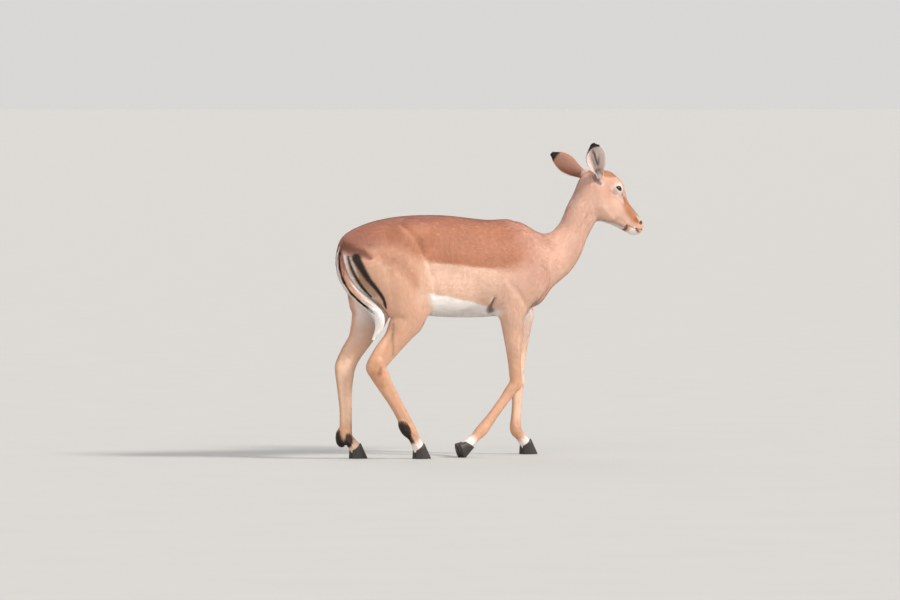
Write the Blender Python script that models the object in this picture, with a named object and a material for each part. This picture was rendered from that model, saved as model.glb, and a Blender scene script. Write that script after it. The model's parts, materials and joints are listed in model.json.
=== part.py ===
"""A life-size impala ewe, standing in mid stride, for a still model.

The frame is metres, +X forward, +Y to the animal's left, +Z up, with the floor at Z = 0.  The
tables below count X from the middle of the belly; the finished pieces are moved so that the
origin lies on the floor under the middle of the whole animal.
The flesh is one surface: tubes and muscles run together where a rounded blend of all of them
is zero.  Thin cuts then part it into trunk, neck, head, legs and tail, and the ears, eyes and
hooves are solids of their own.
"""

import math

import bmesh
import bpy
import numpy as np
from mathutils import Matrix, Vector

ORIGIN_X = 0.132       # from the middle of the belly to the middle of the whole length
GAP = 0.0003           # between touching solids
VOXEL = 0.0075         # of the first rough union
FLESH_TRIANGLES = 4810
RING = 20              # points round a tube's rough ring

# ---------------------------------------------------------------- driving sizes
LEG_Y = {"right": -1.0, "left": 1.0}
HIP_Y, HOCK_Y, HIND_FOOT_Y = 0.062, 0.066, 0.066
SHOULDER_Y, KNEE_Y, FORE_FOOT_Y = 0.066, 0.062, 0.058

# Sections of trunk, neck and head: upper point (x, z), lower point (x, z), half width, and how
# much wider the lower half is than the upper half.
TRUNK = [
    ((-0.497, 0.792), (-0.480, 0.715), 0.026, 0.0),
    ((-0.465, 0.828), (-0.450, 0.640), 0.062, 0.0),
    ((-0.400, 0.857), (-0.395, 0.580), 0.088, 0.0),
    ((-0.320, 0.877), (-0.320, 0.548), 0.101, 0.0),
    ((-0.235, 0.887), (-0.235, 0.534), 0.104, 0.04),
    ((-0.150, 0.890), (-0.150, 0.520), 0.112, 0.10),
    ((-0.050, 0.887), (-0.050, 0.512), 0.130, 0.12),
    ((0.050, 0.876), (0.050, 0.510), 0.136, 0.12),
    ((0.130, 0.868), (0.130, 0.513), 0.126, 0.10),
    ((0.195, 0.856), (0.205, 0.525), 0.108, 0.06),
    ((0.250, 0.830), (0.262, 0.548), 0.088, 0.0),
    ((0.292, 0.795), (0.300, 0.590), 0.064, 0.0),
    ((0.324, 0.745), (0.326, 0.650), 0.038, 0.0),
]
NECK = [
    ((0.215, 0.838), (0.292, 0.596), 0.080, 0.10),
    ((0.298, 0.806), (0.372, 0.620), 0.070, 0.10),
    ((0.374, 0.814), (0.446, 0.658), 0.058, 0.10),
    ((0.436, 0.862), (0.492, 0.714), 0.050, 0.10),
    ((0.470, 0.930), (0.527, 0.784), 0.044, 0.08),
    ((0.503, 0.985), (0.572, 0.856), 0.043, 0.06),
    ((0.540, 1.030), (0.590, 0.900), 0.042, 0.0),
]
HEAD = [
    ((0.552, 1.036), (0.545, 0.925), 0.040, 0.0),
    ((0.594, 1.050), (0.562, 0.896), 0.048, -0.05),
    ((0.640, 1.045), (0.582, 0.877), 0.050, -0.15),
    ((0.671, 1.018), (0.603, 0.864), 0.049, -0.20),
    ((0.689, 0.985), (0.628, 0.854), 0.043, -0.18),
    ((0.703, 0.951), (0.656, 0.844), 0.036, -0.12),
    ((0.726, 0.921), (0.687, 0.831), 0.030, -0.05),
    ((0.752, 0.894), (0.716, 0.817), 0.026, 0.0),
    ((0.773, 0.868), (0.741, 0.807), 0.0245, 0.0),
    ((0.780, 0.852), (0.757, 0.815), 0.019, 0.0),
]

# Joints (x, z) of each leg, from the top down to the coronet, and how far the foot is pitched.
HIND_JOINTS = {
    "right": [(-0.300, 0.745), (-0.215, 0.520), (-0.390, 0.338), (-0.249, 0.105), (-0.212, 0.040)],
    "left": [(-0.300, 0.745), (-0.302, 0.512), (-0.446, 0.334), (-0.443, 0.082), (-0.404, 0.040)],
}
FORE_JOINTS = {
    "right": [(0.200, 0.775), (0.263, 0.640), (0.176, 0.520), (0.204, 0.268), (0.062, 0.098),
              (-0.003, 0.0445)],
    "left": [(0.200, 0.775), (0.294, 0.650), (0.300, 0.515), (0.284, 0.270), (0.271, 0.092),
             (0.314, 0.040)],
}
FOOT_PITCH = {("hind", "right"): 0.0, ("hind", "left"): 0.0, ("fore", "left"): 0.0, ("fore", "right"): 72.0}

# Sections of the legs, shared by left and right: which bone, how far along it, how far the
# surface is in front of and behind the bone's line, half width.
HIND_SECTIONS = [
    (0, 0.00, 0.115, 0.125, 0.050),
    (0, 0.30, 0.105, 0.135, 0.056),
    (0, 0.62, 0.080, 0.130, 0.055),
    (0, 0.88, 0.052, 0.120, 0.048),
    (1, 0.12, 0.038, 0.104, 0.043),
    (1, 0.32, 0.034, 0.082, 0.036),
    (1, 0.55, 0.031, 0.059, 0.029),
    (1, 0.78, 0.030, 0.054, 0.023),
    (2, 0.00, 0.040, 0.043, 0.0235),
    (2, 0.12, 0.034, 0.041, 0.0215),
    (2, 0.30, 0.027, 0.034, 0.0190),
    (2, 0.60, 0.025, 0.025, 0.0175),
    (2, 0.86, 0.024, 0.025, 0.0185),
    (3, 0.05, 0.024, 0.026, 0.0205),
    (3, 0.50, 0.020, 0.020, 0.0185),
    (3, 1.10, 0.022, 0.024, 0.0225),
]
FORE_SECTIONS = [
    (0, 0.05, 0.050, 0.060, 0.030),
    (0, 0.60, 0.055, 0.085, 0.040),
    (1, 0.00, 0.048, 0.110, 0.042),
    (1, 0.55, 0.045, 0.085, 0.042),
    (2, 0.00, 0.052, 0.046, 0.038),
    (2, 0.15, 0.046, 0.042, 0.034),
    (2, 0.35, 0.037, 0.035, 0.029),
    (2, 0.62, 0.026, 0.028, 0.023),
    (2, 0.86, 0.022, 0.026, 0.0205),
    (3, 0.00, 0.023, 0.028, 0.0225),
    (3, 0.14, 0.020, 0.025, 0.0195),
    (3, 0.35, 0.018, 0.021, 0.0165),
    (3, 0.68, 0.017, 0.020, 0.0160),
    (3, 0.92, 0.020, 0.024, 0.0190),
    (4, 0.12, 0.020, 0.024, 0.0195),
    (4, 0.50, 0.017, 0.019, 0.0175),
    (4, 1.10, 0.020, 0.022, 0.0215),
]
TAIL_PATH = [
    (-0.462, 0.000, 0.806, 0.022),
    (-0.490, 0.000, 0.775, 0.024),
    (-0.503, -0.002, 0.725, 0.024),
    (-0.492, -0.007, 0.665, 0.026),
    (-0.457, -0.016, 0.610, 0.027),
    (-0.407, -0.037, 0.563, 0.028),
    (-0.379, -0.058, 0.524, 0.027),
    (-0.375, -0.061, 0.486, 0.020),
    (-0.393, -0.054, 0.445, 0.006),
]

# Muscles and bony points of both sides: centre, radii (along, across, deep), direction of the long
# axis, blend width.
MUSCLES = [
    ((-0.240, 0.070, 0.828), (0.060, 0.026, 0.030), (1, 0, 0.1), 0.07),      # hip bone
    ((-0.105, 0.082, 0.596), (0.090, 0.044, 0.060), (1, 0, 0), 0.06),        # flank fold
    ((0.225, 0.072, 0.715), (0.060, 0.026, 0.105), (1, 0, 0.45), 0.05),      # shoulder blade
    ((0.274, 0.058, 0.642), (0.034, 0.024, 0.045), (1, 0, 0.35), 0.05),      # point of shoulder
    ((0.300, 0.000, 0.615), (0.040, 0.034, 0.060), (1, 0, 0.55), 0.05),      # breast
    ((0.650, 0.034, 0.990), (0.030, 0.022, 0.022), (0.62, 0, -0.78), 0.024),  # brow and orbit
    ((0.612, 0.029, 0.905), (0.048, 0.018, 0.036), (0.8, 0, -0.6), 0.030),   # cheek
]
TUFT_RADII, TUFT_BACK, TUFT_OUT = (0.034, 0.017, 0.017), 0.019, 0.007
TUFT_RAISED = {"right": 0.022, "left": -0.004}

EYE_CENTRE = (0.644, 0.0455, 0.979)
EYE_RADIUS = 0.0175

EAR_ROOT = (0.566, 0.040, 1.032)
EAR_TIP = {"right": (0.480, -0.150, 1.143), "left": (0.484, 0.154, 1.108)}
EAR_FACING = (-0.10, 1.0, -0.15)       # the open side, for the left ear
EAR_STUB_RADII = (0.036, 0.0225, 0.0210)
EAR_START = 0.12                      # share of the ear's length where it leaves the head
EAR_ARC = [(0.0, 0.031), (0.25, 0.043), (0.5, 0.050), (0.75, 0.039), (0.92, 0.019), (1.0, 0.004)]
EAR_CURL = [(0.0, 2.3), (0.3, 1.45), (0.6, 0.95), (1.0, 0.6)]
EAR_WALL = 0.0034

# The hoof in its own frame: sole at zero, coronet over the origin, toe forward.
CORONET_HEIGHT, HEEL_X, TOE_X = 0.040, -0.020, 0.045
CLAW_HALF_WIDTH, CLEFT = 0.0112, 0.0022
CORONET_HALF_LENGTH = 0.0215
CLAW_FLARE, TOE_TAPER = 0.16, 0.42
PASTERN_SLOPE = 55.0                  # of the coronet's axis over a flat foot, in degrees
CLAW_RING = 12

CUT_HALF_THICK = GAP / 2
# Thin cuts: name, centre, the two directions of the cut's plane, half sizes along them.
BODY_CUTS = [
    ("neck_base", (0.330, 0, 0.7085), (-0.090, 0, 0.307), (0, 1, 0), 0.165, 0.14),
    ("throat", (0.548, 0, 0.943), (-0.040, 0, 0.155), (0, 1, 0), 0.110, 0.09),
    ("thigh_right", (-0.280, -0.062, 0.512), (-0.972, 0, 0.233), (0, -0.8, 0.6), 0.170, 0.084),
    ("thigh_left", (-0.280, 0.062, 0.512), (-0.972, 0, 0.233), (0, 0.8, 0.6), 0.170, 0.084),
    ("elbow_right", (0.195, -0.075, 0.522), (1, 0, 0), (0, -0.8, 0.6), 0.105, 0.102),
    ("elbow_left", (0.262, 0.075, 0.522), (1, 0, 0), (0, 0.8, 0.6), 0.120, 0.102),
]

COLOURS = {
    "coat_red": ((0.60, 0.31, 0.17), 0.65),
    "coat_tan": ((0.74, 0.46, 0.27), 0.65),
    "coat_dark": ((0.035, 0.028, 0.026), 0.7),
    "hoof": ((0.06, 0.055, 0.05), 0.35),
    "eye": ((0.012, 0.008, 0.006), 0.06),
}


# ---------------------------------------------------------------- curves through sections
def smooth_through(rows, steps):
    """Catmull-Rom through rows of numbers: each stretch is the cubic with the neighbours' slopes."""
    rows = np.asarray(rows, float)
    padded = np.vstack([2 * rows[0] - rows[1], rows, 2 * rows[-1] - rows[-2]])
    t = np.linspace(0, 1, steps, endpoint=False)[:, None]
    out = []
    for a, b, c, d in zip(padded, padded[1:], padded[2:], padded[3:]):
        out.append(0.5 * (2 * b + (c - a) * t + (2 * a - 5 * b + 4 * c - d) * t**2
                          + (3 * b - a - 3 * c + d) * t**3))
    return np.vstack(out + [rows[-1:]])


def profile_sections(profile, steps=5):
    """Rows of centre x, y, z, half depth vector x, z, half width, lower-half gain."""
    rows = []
    for (x0, z0), (x1, z1), half, gain in profile:
        rows.append([(x0 + x1) / 2, 0, (z0 + z1) / 2, (x0 - x1) / 2, (z0 - z1) / 2, half, gain])
    return smooth_through(rows, steps)


def leg_sections(joints, sections, ys, steps=4):
    """The same rows for a leg: each section stands across its bone, and turns halfway at a joint."""
    joints = np.asarray(joints, float)
    along = np.diff(joints, axis=0)
    along /= np.linalg.norm(along, axis=1)[:, None]
    down = np.cumsum(np.r_[0, np.linalg.norm(np.diff(joints, axis=0), axis=1)])
    rows = []
    for bone, share, front, back, half in sections:
        place = joints[bone] + (joints[bone + 1] - joints[bone]) * share
        near = bone - 1 if share < 0.5 else bone + 1
        other = along[min(max(near, 0), len(along) - 1)]
        turn = 0.5 * abs(1 - 2 * min(share, 1.0)) ** 3
        d = along[bone] * (1 - turn) + other * turn
        d /= np.linalg.norm(d)
        front_way = np.array([-d[1], d[0]])
        middle = place + front_way * (front - back) / 2
        deep = front_way * (front + back) / 2
        y = np.interp(down[bone] + share * (down[bone + 1] - down[bone]), down, ys)
        rows.append([middle[0], y, middle[1], deep[0], deep[1], half, 0])
    return smooth_through(rows, steps)


def hind_ys(sign):
    """How far from the middle each joint of a hind leg lies."""
    return [sign * HIP_Y, sign * (HOCK_Y + 0.008), sign * HOCK_Y, sign * HIND_FOOT_Y, sign * HIND_FOOT_Y]


def fore_ys(sign):
    """How far from the middle each joint of a foreleg lies."""
    return [sign * (SHOULDER_Y - 0.012), sign * SHOULDER_Y, sign * (SHOULDER_Y + 0.004),
            sign * KNEE_Y, sign * FORE_FOOT_Y, sign * FORE_FOOT_Y]


def hind_sections(side):
    return leg_sections(HIND_JOINTS[side], HIND_SECTIONS, hind_ys(LEG_Y[side]))


def fore_sections(side):
    return leg_sections(FORE_JOINTS[side], FORE_SECTIONS, fore_ys(LEG_Y[side]))


# ---------------------------------------------------------------- the flesh as one field
def tube_field(points, rows):
    """Distance outside a tube: each point is put between the two section planes that hold it,
    and its place in that oval, divided by the oval's half axes, gives the distance."""
    best = np.full(len(points), 1e3)
    for a, b in zip(rows, rows[1:]):
        depth_a, depth_b = a[3:5], b[3:5]
        normal_a = np.array([depth_a[1], -depth_a[0]]) / np.linalg.norm(depth_a)
        normal_b = np.array([depth_b[1], -depth_b[0]]) / np.linalg.norm(depth_b)
        step = np.array([b[0] - a[0], b[2] - a[2]])
        if step @ (normal_a + normal_b) < 0:
            normal_a, normal_b = -normal_a, -normal_b
        past_a = (points[:, 0] - a[0]) * normal_a[0] + (points[:, 2] - a[2]) * normal_a[1]
        past_b = (points[:, 0] - b[0]) * normal_b[0] + (points[:, 2] - b[2]) * normal_b[1]
        h = np.clip(past_a / np.maximum(past_a - past_b, 1e-5), 0, 1)
        row = a + (b - a) * h[:, None]
        deep = np.hypot(row[:, 3], row[:, 4])
        ux, uz = row[:, 3] / deep, row[:, 4] / deep
        qx, qy, qz = points[:, 0] - row[:, 0], points[:, 1] - row[:, 1], points[:, 2] - row[:, 2]
        up = (qx * ux + qz * uz) / deep
        wide = row[:, 5] * (1 - row[:, 6] * np.clip(up, -1, 1))
        side = qy / wide
        cap = np.minimum(deep, wide) * 0.8
        end = (qx * uz - qz * ux) / cap
        size = np.sqrt(up**2 + side**2 + end**2)
        slope = np.sqrt((up / deep) ** 2 + (side / wide) ** 2 + (end / cap) ** 2)
        best = np.minimum(best, size * (size - 1) / np.maximum(slope, 1e-6))
    return best


def axes_of(direction):
    """Rows: the direction, the sideways axis nearest to +Y, and the third axis square to both."""
    along = np.asarray(direction, float)
    along = along / np.linalg.norm(along)
    across = np.array([0.0, 1.0, 0.0]) - along[1] * along
    across /= np.linalg.norm(across)
    return np.stack([along, across, np.cross(along, across)])


def muscle_field(points, centre, radii, direction):
    """Distance outside an ellipsoid with its long axis in the given direction."""
    local = (points - np.asarray(centre)) @ axes_of(direction).T
    size = np.linalg.norm(local / radii, axis=1)
    slope = np.linalg.norm(local / np.square(radii), axis=1)
    return size * (size - 1) / np.maximum(slope, 1e-6)


def blend(a, b, width):
    """The smaller of two distances, rounded where they are within width of each other."""
    near = np.maximum(width - np.abs(a - b), 0) / width
    return np.minimum(a, b) - near**2 * width / 4


def flesh_parts():
    """(sections, blend width) of every tube, in the order in which they are run together."""
    return [(profile_sections(TRUNK), 0.0), (profile_sections(NECK), 0.10),
            (profile_sections(HEAD), 0.035),
            (hind_sections("right"), 0.045), (hind_sections("left"), 0.045),
            (fore_sections("right"), 0.040), (fore_sections("left"), 0.040)]


def ear_axis(side):
    """The ear's root, its direction and its length."""
    root = np.array([EAR_ROOT[0], LEG_Y[side] * EAR_ROOT[1], EAR_ROOT[2]])
    reach = np.array(EAR_TIP[side]) - root
    length = np.linalg.norm(reach)
    return root, reach / length, length


def gland_tuft(joints, side):
    """The tuft of hair over the gland behind a hind fetlock."""
    above, here = np.array(joints[2]), np.array(joints[3])
    down = (here - above) / np.linalg.norm(here - above)
    back = np.array([down[1], -down[0]])
    place = here + back * TUFT_BACK - down * TUFT_RAISED[side]
    outer = LEG_Y[side] * (HIND_FOOT_Y + TUFT_OUT)
    return (place[0], outer, place[1]), TUFT_RADII, (down[0], 0, down[1]), 0.012


def all_muscles():
    """Every ellipsoid of the flesh, on both sides."""
    found = []
    for centre, radii, direction, width in MUSCLES:
        for sign in (1, -1) if centre[1] else (1,):
            found.append(((centre[0], sign * centre[1], centre[2]), radii, direction, width))
    for side in LEG_Y:
        root, along, _ = ear_axis(side)
        found.append((tuple(root + along * 0.010), EAR_STUB_RADII, tuple(along), 0.022))
        found.append(gland_tuft(HIND_JOINTS[side], side))
    return found


def flesh_field(points, parts, muscles):
    found = tube_field(points, parts[0][0])
    for rows, width in parts[1:]:
        found = blend(found, tube_field(points, rows), width)
    for centre, radii, direction, width in muscles:
        found = blend(found, muscle_field(points, centre, radii, direction), width)
    return found


def settle(points, parts, muscles, rounds=3):
    """Moves points along the field's slope until they lie on the flesh's surface."""
    reach = 0.0005
    for _ in range(rounds):
        here = flesh_field(points, parts, muscles)
        slope = np.stack([(flesh_field(points + reach * axis, parts, muscles) - here) / reach
                          for axis in np.eye(3)], axis=1)
        steep = np.maximum((slope**2).sum(axis=1), 0.2)
        points = points - slope * np.clip(here / steep, -0.02, 0.02)[:, None]
    return points


# ---------------------------------------------------------------- meshes
def add_object(name, points, faces):
    mesh = bpy.data.meshes.new(name)
    mesh.from_pydata([tuple(p) for p in points], [], faces)
    mesh.validate()
    made = bpy.data.objects.new(name, mesh)
    bpy.context.scene.collection.objects.link(made)
    return made


def ring_faces(rings, round_count, offset=0):
    """Quads between rings, and a flat cap at each end."""
    faces = []
    for i in range(rings - 1):
        for j in range(round_count):
            a, b = offset + i * round_count, offset + (i + 1) * round_count
            k = (j + 1) % round_count
            faces.append((a + j, a + k, b + k, b + j))
    faces.append(tuple(offset + j for j in reversed(range(round_count))))
    faces.append(tuple(offset + (rings - 1) * round_count + j for j in range(round_count)))
    return faces


def rough_tube(rows):
    """Ovals round a tube's sections: depth by cosine and width by sine of the angle."""
    angle = np.linspace(0, 2 * math.pi, RING, endpoint=False)
    up, side = np.cos(angle), np.sin(angle)
    x = rows[:, 0:1] + rows[:, 3:4] * up
    z = rows[:, 2:3] + rows[:, 4:5] * up
    y = rows[:, 1:2] + rows[:, 5:6] * side
    return np.stack([x, y, z], axis=2).reshape(-1, 3), ring_faces(len(rows), RING)


def rough_ball(centre, radii, direction, rings=9):
    """Rings round the ellipsoid's long axis, with a small flat at each end."""
    tilt = np.linspace(0.04, math.pi - 0.04, rings)[:, None]
    angle = np.linspace(0, 2 * math.pi, RING, endpoint=False)[None, :]
    local = np.stack([radii[0] * np.cos(tilt) + 0 * angle, radii[1] * np.sin(tilt) * np.cos(angle),
                      radii[2] * np.sin(tilt) * np.sin(angle)], axis=2)
    points = np.asarray(centre) + local.reshape(-1, 3) @ axes_of(direction)
    return points, ring_faces(rings, RING)


def evaluated_copy(source, name):
    """A new plain object with the mesh that the source shows."""
    shown = source.evaluated_get(bpy.context.evaluated_depsgraph_get())
    mesh = bpy.data.meshes.new_from_object(shown)
    made = bpy.data.objects.new(name, mesh)
    bpy.context.scene.collection.objects.link(made)
    return made


def outward(made):
    """Turns every face outwards."""
    work = bmesh.new()
    work.from_mesh(made.data)
    bmesh.ops.recalc_face_normals(work, faces=work.faces)
    if work.calc_volume(signed=True) < 0:
        bmesh.ops.reverse_faces(work, faces=work.faces)
    work.to_mesh(made.data)
    work.free()
    return made


def remove(made):
    bpy.data.objects.remove(made, do_unlink=True)


def mesh_points(made):
    found = np.empty(len(made.data.vertices) * 3)
    made.data.vertices.foreach_get("co", found)
    return found.reshape(-1, 3)


def gather(shapes):
    """Several (points, faces) as one."""
    points, faces, start = [], [], 0
    for some, their_faces in shapes:
        points.append(some)
        faces += [tuple(start + i for i in face) for face in their_faces]
        start += len(some)
    return np.vstack(points), faces


def make_flesh():
    """The whole animal as one closed mesh: rough union, settled on the field, faces merged."""
    parts, muscles = flesh_parts(), all_muscles()
    shapes = [rough_tube(rows) for rows, _ in parts]
    shapes += [rough_ball(*muscle[:3]) for muscle in muscles]
    rough = outward(add_object("rough", *gather(shapes)))
    remesh = rough.modifiers.new("union", "REMESH")
    remesh.mode, remesh.voxel_size = "VOXEL", VOXEL
    soften = rough.modifiers.new("soften", "SMOOTH")
    soften.factor, soften.iterations = 0.5, 3
    fine = evaluated_copy(rough, "fine")
    remove(rough)
    fine.data.vertices.foreach_set("co", settle(mesh_points(fine), parts, muscles).ravel())
    triangles = sum(len(p.vertices) - 2 for p in fine.data.polygons)
    merge = fine.modifiers.new("merge", "DECIMATE")
    merge.ratio = FLESH_TRIANGLES / triangles
    merge.use_collapse_triangulate = True
    flesh = evaluated_copy(fine, "flesh")
    remove(fine)
    return flesh


# ---------------------------------------------------------------- thin cuts
def slab(centre, first, second, half_first, half_second):
    """A thin box: its eight corners, from a centre and two directions in its plane."""
    u = Vector(first).normalized() * half_first
    v = Vector(second).normalized() * half_second
    w = Vector(first).cross(Vector(second)).normalized() * CUT_HALF_THICK
    middle = Vector(centre)
    around = ((-1, -1), (1, -1), (1, 1), (-1, 1))
    corners = [middle + u * a + v * b + w * c for c in (-1, 1) for a, b in around]
    faces = [(0, 1, 2, 3), (7, 6, 5, 4), (0, 4, 5, 1), (1, 5, 6, 2), (2, 6, 7, 3), (3, 7, 4, 0)]
    return np.array(corners), faces


def bone_place(joints, ys, bone, share):
    """A point on a leg's bone line and the bone's direction, in space."""
    a, b = np.array(joints[bone]), np.array(joints[bone + 1])
    place = a + (b - a) * share
    y = ys[bone] + (ys[bone + 1] - ys[bone]) * share
    return (place[0], y, place[1]), (b[0] - a[0], 0, b[1] - a[1])


def leg_table():
    """Each leg's joints, their sideways places, its cannon bone's index and its foot's pitch."""
    table = {}
    for side, sign in LEG_Y.items():
        table["hind", side] = (HIND_JOINTS[side], hind_ys(sign), 2)
        table["fore", side] = (FORE_JOINTS[side], fore_ys(sign), 3)
    return table


def foot_frame(end, side):
    """Matrix from the hoof's own frame to the world: pitched about Y, coronet on the leg's end."""
    joints, ys, cannon = leg_table()[end, side]
    coronet = Vector((joints[cannon + 2][0], ys[cannon + 2], joints[cannon + 2][1]))
    pitch = Matrix.Rotation(math.radians(FOOT_PITCH[end, side]), 4, "Y")
    return Matrix.Translation(coronet) @ pitch @ Matrix.Translation((0, 0, -CORONET_HEIGHT))


def coronet_axes():
    """In the hoof's frame: the direction down the pastern, and the coronet's forward direction."""
    c, s = math.cos(math.radians(PASTERN_SLOPE)), math.sin(math.radians(PASTERN_SLOPE))
    return Vector((c, 0, -s)), Vector((s, 0, c))


def leg_cuts():
    """Cuts below hock or knee, above the pastern and at the coronet of each leg."""
    cuts = []
    for (end, side), (joints, ys, cannon) in leg_table().items():
        for bone, share in ((cannon, 0.13), (cannon + 1, 0.22)):
            place, way = bone_place(joints, ys, bone, share)
            cuts.append((place, (way[2], 0, -way[0]), (0, 1, 0), 0.058, 0.040))
        frame = foot_frame(end, side)
        turn = frame.to_3x3()
        _, forward = coronet_axes()
        place = frame @ Vector((0, 0, CORONET_HEIGHT))
        cuts.append((place, turn @ forward, (0, 1, 0), 0.042, 0.036))
    return cuts


def ear_cuts():
    cuts = []
    for side in LEG_Y:
        root, along, length = ear_axis(side)
        axes = axes_of(along)
        place = root + along * (length * EAR_START - CUT_HALF_THICK)
        cuts.append((place, tuple(axes[1]), tuple(axes[2]), 0.040, 0.040))
    return cuts


def cut_with(target, cutters):
    """Takes cutters out of target with exact Booleans, one after another."""
    for cutter in cutters:
        cutter.hide_render, cutter.display_type = True, "WIRE"
        change = target.modifiers.new("cut", "BOOLEAN")
        change.operation, change.object, change.solver = "DIFFERENCE", cutter, "EXACT"
    result = evaluated_copy(target, target.name + "_cut")
    for cutter in cutters:
        remove(cutter)
    remove(target)
    return result


def loose_parts(made):
    """The separate closed pieces of a mesh, each as a new object."""
    work = bmesh.new()
    work.from_mesh(made.data)
    bmesh.ops.remove_doubles(work, verts=work.verts, dist=2e-6)
    work.verts.ensure_lookup_table()
    seen, pieces = set(), []
    for seed in work.verts:
        if seed.index in seen:
            continue
        todo, piece = [seed], []
        seen.add(seed.index)
        while todo:
            vertex = todo.pop()
            piece.append(vertex)
            for edge in vertex.link_edges:
                other = edge.other_vert(vertex)
                if other.index not in seen:
                    seen.add(other.index)
                    todo.append(other)
        pieces.append(piece)
    made_pieces = []
    for piece in pieces:
        place = {vertex: i for i, vertex in enumerate(piece)}
        faces = {face for vertex in piece for face in vertex.link_faces}
        ordered = sorted(faces, key=lambda face: face.index)
        made_pieces.append(add_object("piece", [v.co for v in piece],
                                      [[place[v] for v in face.verts] for face in ordered]))
    work.free()
    remove(made)
    return made_pieces


def seeds():
    """A point well inside each node of flesh, and inside each offcut, which is thrown away."""
    found = {"trunk": (-0.08, 0, 0.70), "neck": (0.44, 0, 0.79), "head": (0.63, 0, 0.94)}
    for (end, side), (joints, ys, cannon) in leg_table().items():
        for name, bone, share in (("upper", cannon - 1, 0.55), ("cannon", cannon, 0.55),
                                  ("pastern", cannon + 1, 0.60)):
            found[f"{end}leg_{side}_{name}"] = bone_place(joints, ys, bone, share)[0]
        frame = foot_frame(end, side)
        down, _ = coronet_axes()
        found[f"offcut_{end}_{side}"] = tuple(frame @ (Vector((0, 0, CORONET_HEIGHT)) + down * 0.010))
    for side in LEG_Y:
        root, along, length = ear_axis(side)
        found[f"offcut_ear_{side}"] = tuple(root + along * (length * EAR_START + 0.008))
    return found


# ---------------------------------------------------------------- ears, eyes, hooves, tail
def ear_surface(side, u, v, lift):
    """A point of the ear: an arc across the ear, curled more at its root, and lift along the
    arc's own normal.  u runs from root to tip and v from edge to edge."""
    root, along, length = ear_axis(side)
    facing = np.array([EAR_FACING[0], LEG_Y[side] * EAR_FACING[1], EAR_FACING[2]])
    facing = facing - (facing @ along) * along
    facing /= np.linalg.norm(facing)
    across = np.cross(along, facing)
    share = (u - EAR_START) / (1 - EAR_START)
    arc = np.interp(share, *zip(*EAR_ARC))
    curl = np.interp(share, *zip(*EAR_CURL))
    radius = arc / curl
    angle = curl * v
    back = root + along * (length * u)[..., None] - facing * (0.35 * radius)[..., None]
    reach = (radius - lift) * np.sin(angle)
    rise = radius - (radius - lift) * np.cos(angle)
    return back + across * reach[..., None] + facing * rise[..., None]


def make_ear(side, rows=10, columns=8):
    """The ear as a closed cup: an outer and an inner sheet, joined round the rim and the root."""
    u = np.linspace(EAR_START, 1, rows)[:, None] + np.zeros((1, columns))
    v = np.zeros((rows, 1)) + np.linspace(-1, 1, columns)[None, :]
    outer = ear_surface(side, u, v, -EAR_WALL / 2 + 0 * u).reshape(-1, 3)
    inner = ear_surface(side, u, v, EAR_WALL / 2 + 0 * u).reshape(-1, 3)
    count = rows * columns
    faces = []
    for i in range(rows - 1):
        for j in range(columns - 1):
            a = i * columns + j
            faces.append((a, a + columns, a + columns + 1, a + 1))
            faces.append((count + a + 1, count + a + columns + 1, count + a + columns, count + a))
    edge = [i * columns for i in range(rows)] + [(rows - 1) * columns + j for j in range(1, columns)]
    edge += [i * columns + columns - 1 for i in reversed(range(rows - 1))]
    edge += [j for j in reversed(range(1, columns - 1))]
    for a, b in zip(edge, edge[1:] + edge[:1]):
        faces.append((a, b, count + b, count + a))
    return outward(add_object(f"ear_{side}", np.vstack([outer, inner]), faces))


def make_ball(name, centre, radius, segments=14, rings=9):
    work = bmesh.new()
    bmesh.ops.create_uvsphere(work, u_segments=segments, v_segments=rings, radius=radius,
                              matrix=Matrix.Translation(centre))
    mesh = bpy.data.meshes.new(name)
    work.to_mesh(mesh)
    work.free()
    made = bpy.data.objects.new(name, mesh)
    bpy.context.scene.collection.objects.link(made)
    return made


def make_claw(end, side, which):
    """One half of a cloven hoof: ovals from the slanted coronet down to the longer, pointed sole,
    flat towards the cleft.  What would reach below the floor is cut off level with it."""
    sign = 1 if which == "outer" else -1
    sign *= LEG_Y[side]
    _, forward = coronet_axes()
    angle = np.linspace(0, 2 * math.pi, CLAW_RING, endpoint=False)
    along, across = np.cos(angle), np.sin(angle)
    top_x = CORONET_HALF_LENGTH * forward.x * along
    top_z = CORONET_HEIGHT + CORONET_HALF_LENGTH * forward.z * along
    sole_x = (HEEL_X + TOE_X) / 2 + (TOE_X - HEEL_X) / 2 * along
    rings = []
    for share in (0.0, 0.35, 0.75, 1.0):
        x = top_x * (1 - share) + sole_x * share
        z = top_z * (1 - share)
        taper = 1 - TOE_TAPER * share * np.clip(along, 0, 1) ** 2
        wide = CLAW_HALF_WIDTH * (1 + CLAW_FLARE * share) * across * taper
        y = np.maximum(CLEFT / 2 + CLAW_HALF_WIDTH + wide, CLEFT / 2)
        rings.append(np.stack([x, sign * y, z], axis=1))
    frame = foot_frame(end, side)
    down, _ = coronet_axes()
    rings[0] += np.array(down) * GAP
    points = [frame @ Vector(p) for p in np.vstack(rings)]
    claw = outward(add_object(f"hoof_{end}_{side}_{which}", points, ring_faces(len(rings), CLAW_RING)))
    work = bmesh.new()
    work.from_mesh(claw.data)
    bmesh.ops.recalc_face_normals(work, faces=work.faces)
    everything = work.verts[:] + work.edges[:] + work.faces[:]
    bmesh.ops.bisect_plane(work, geom=everything, plane_co=(0, 0, 0), plane_no=(0, 0, 1),
                           clear_inner=True, dist=1e-6)
    open_edges = [edge for edge in work.edges if edge.is_boundary]
    if open_edges:
        bmesh.ops.holes_fill(work, edges=open_edges)
    work.to_mesh(claw.data)
    work.free()
    return outward(claw)


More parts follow.
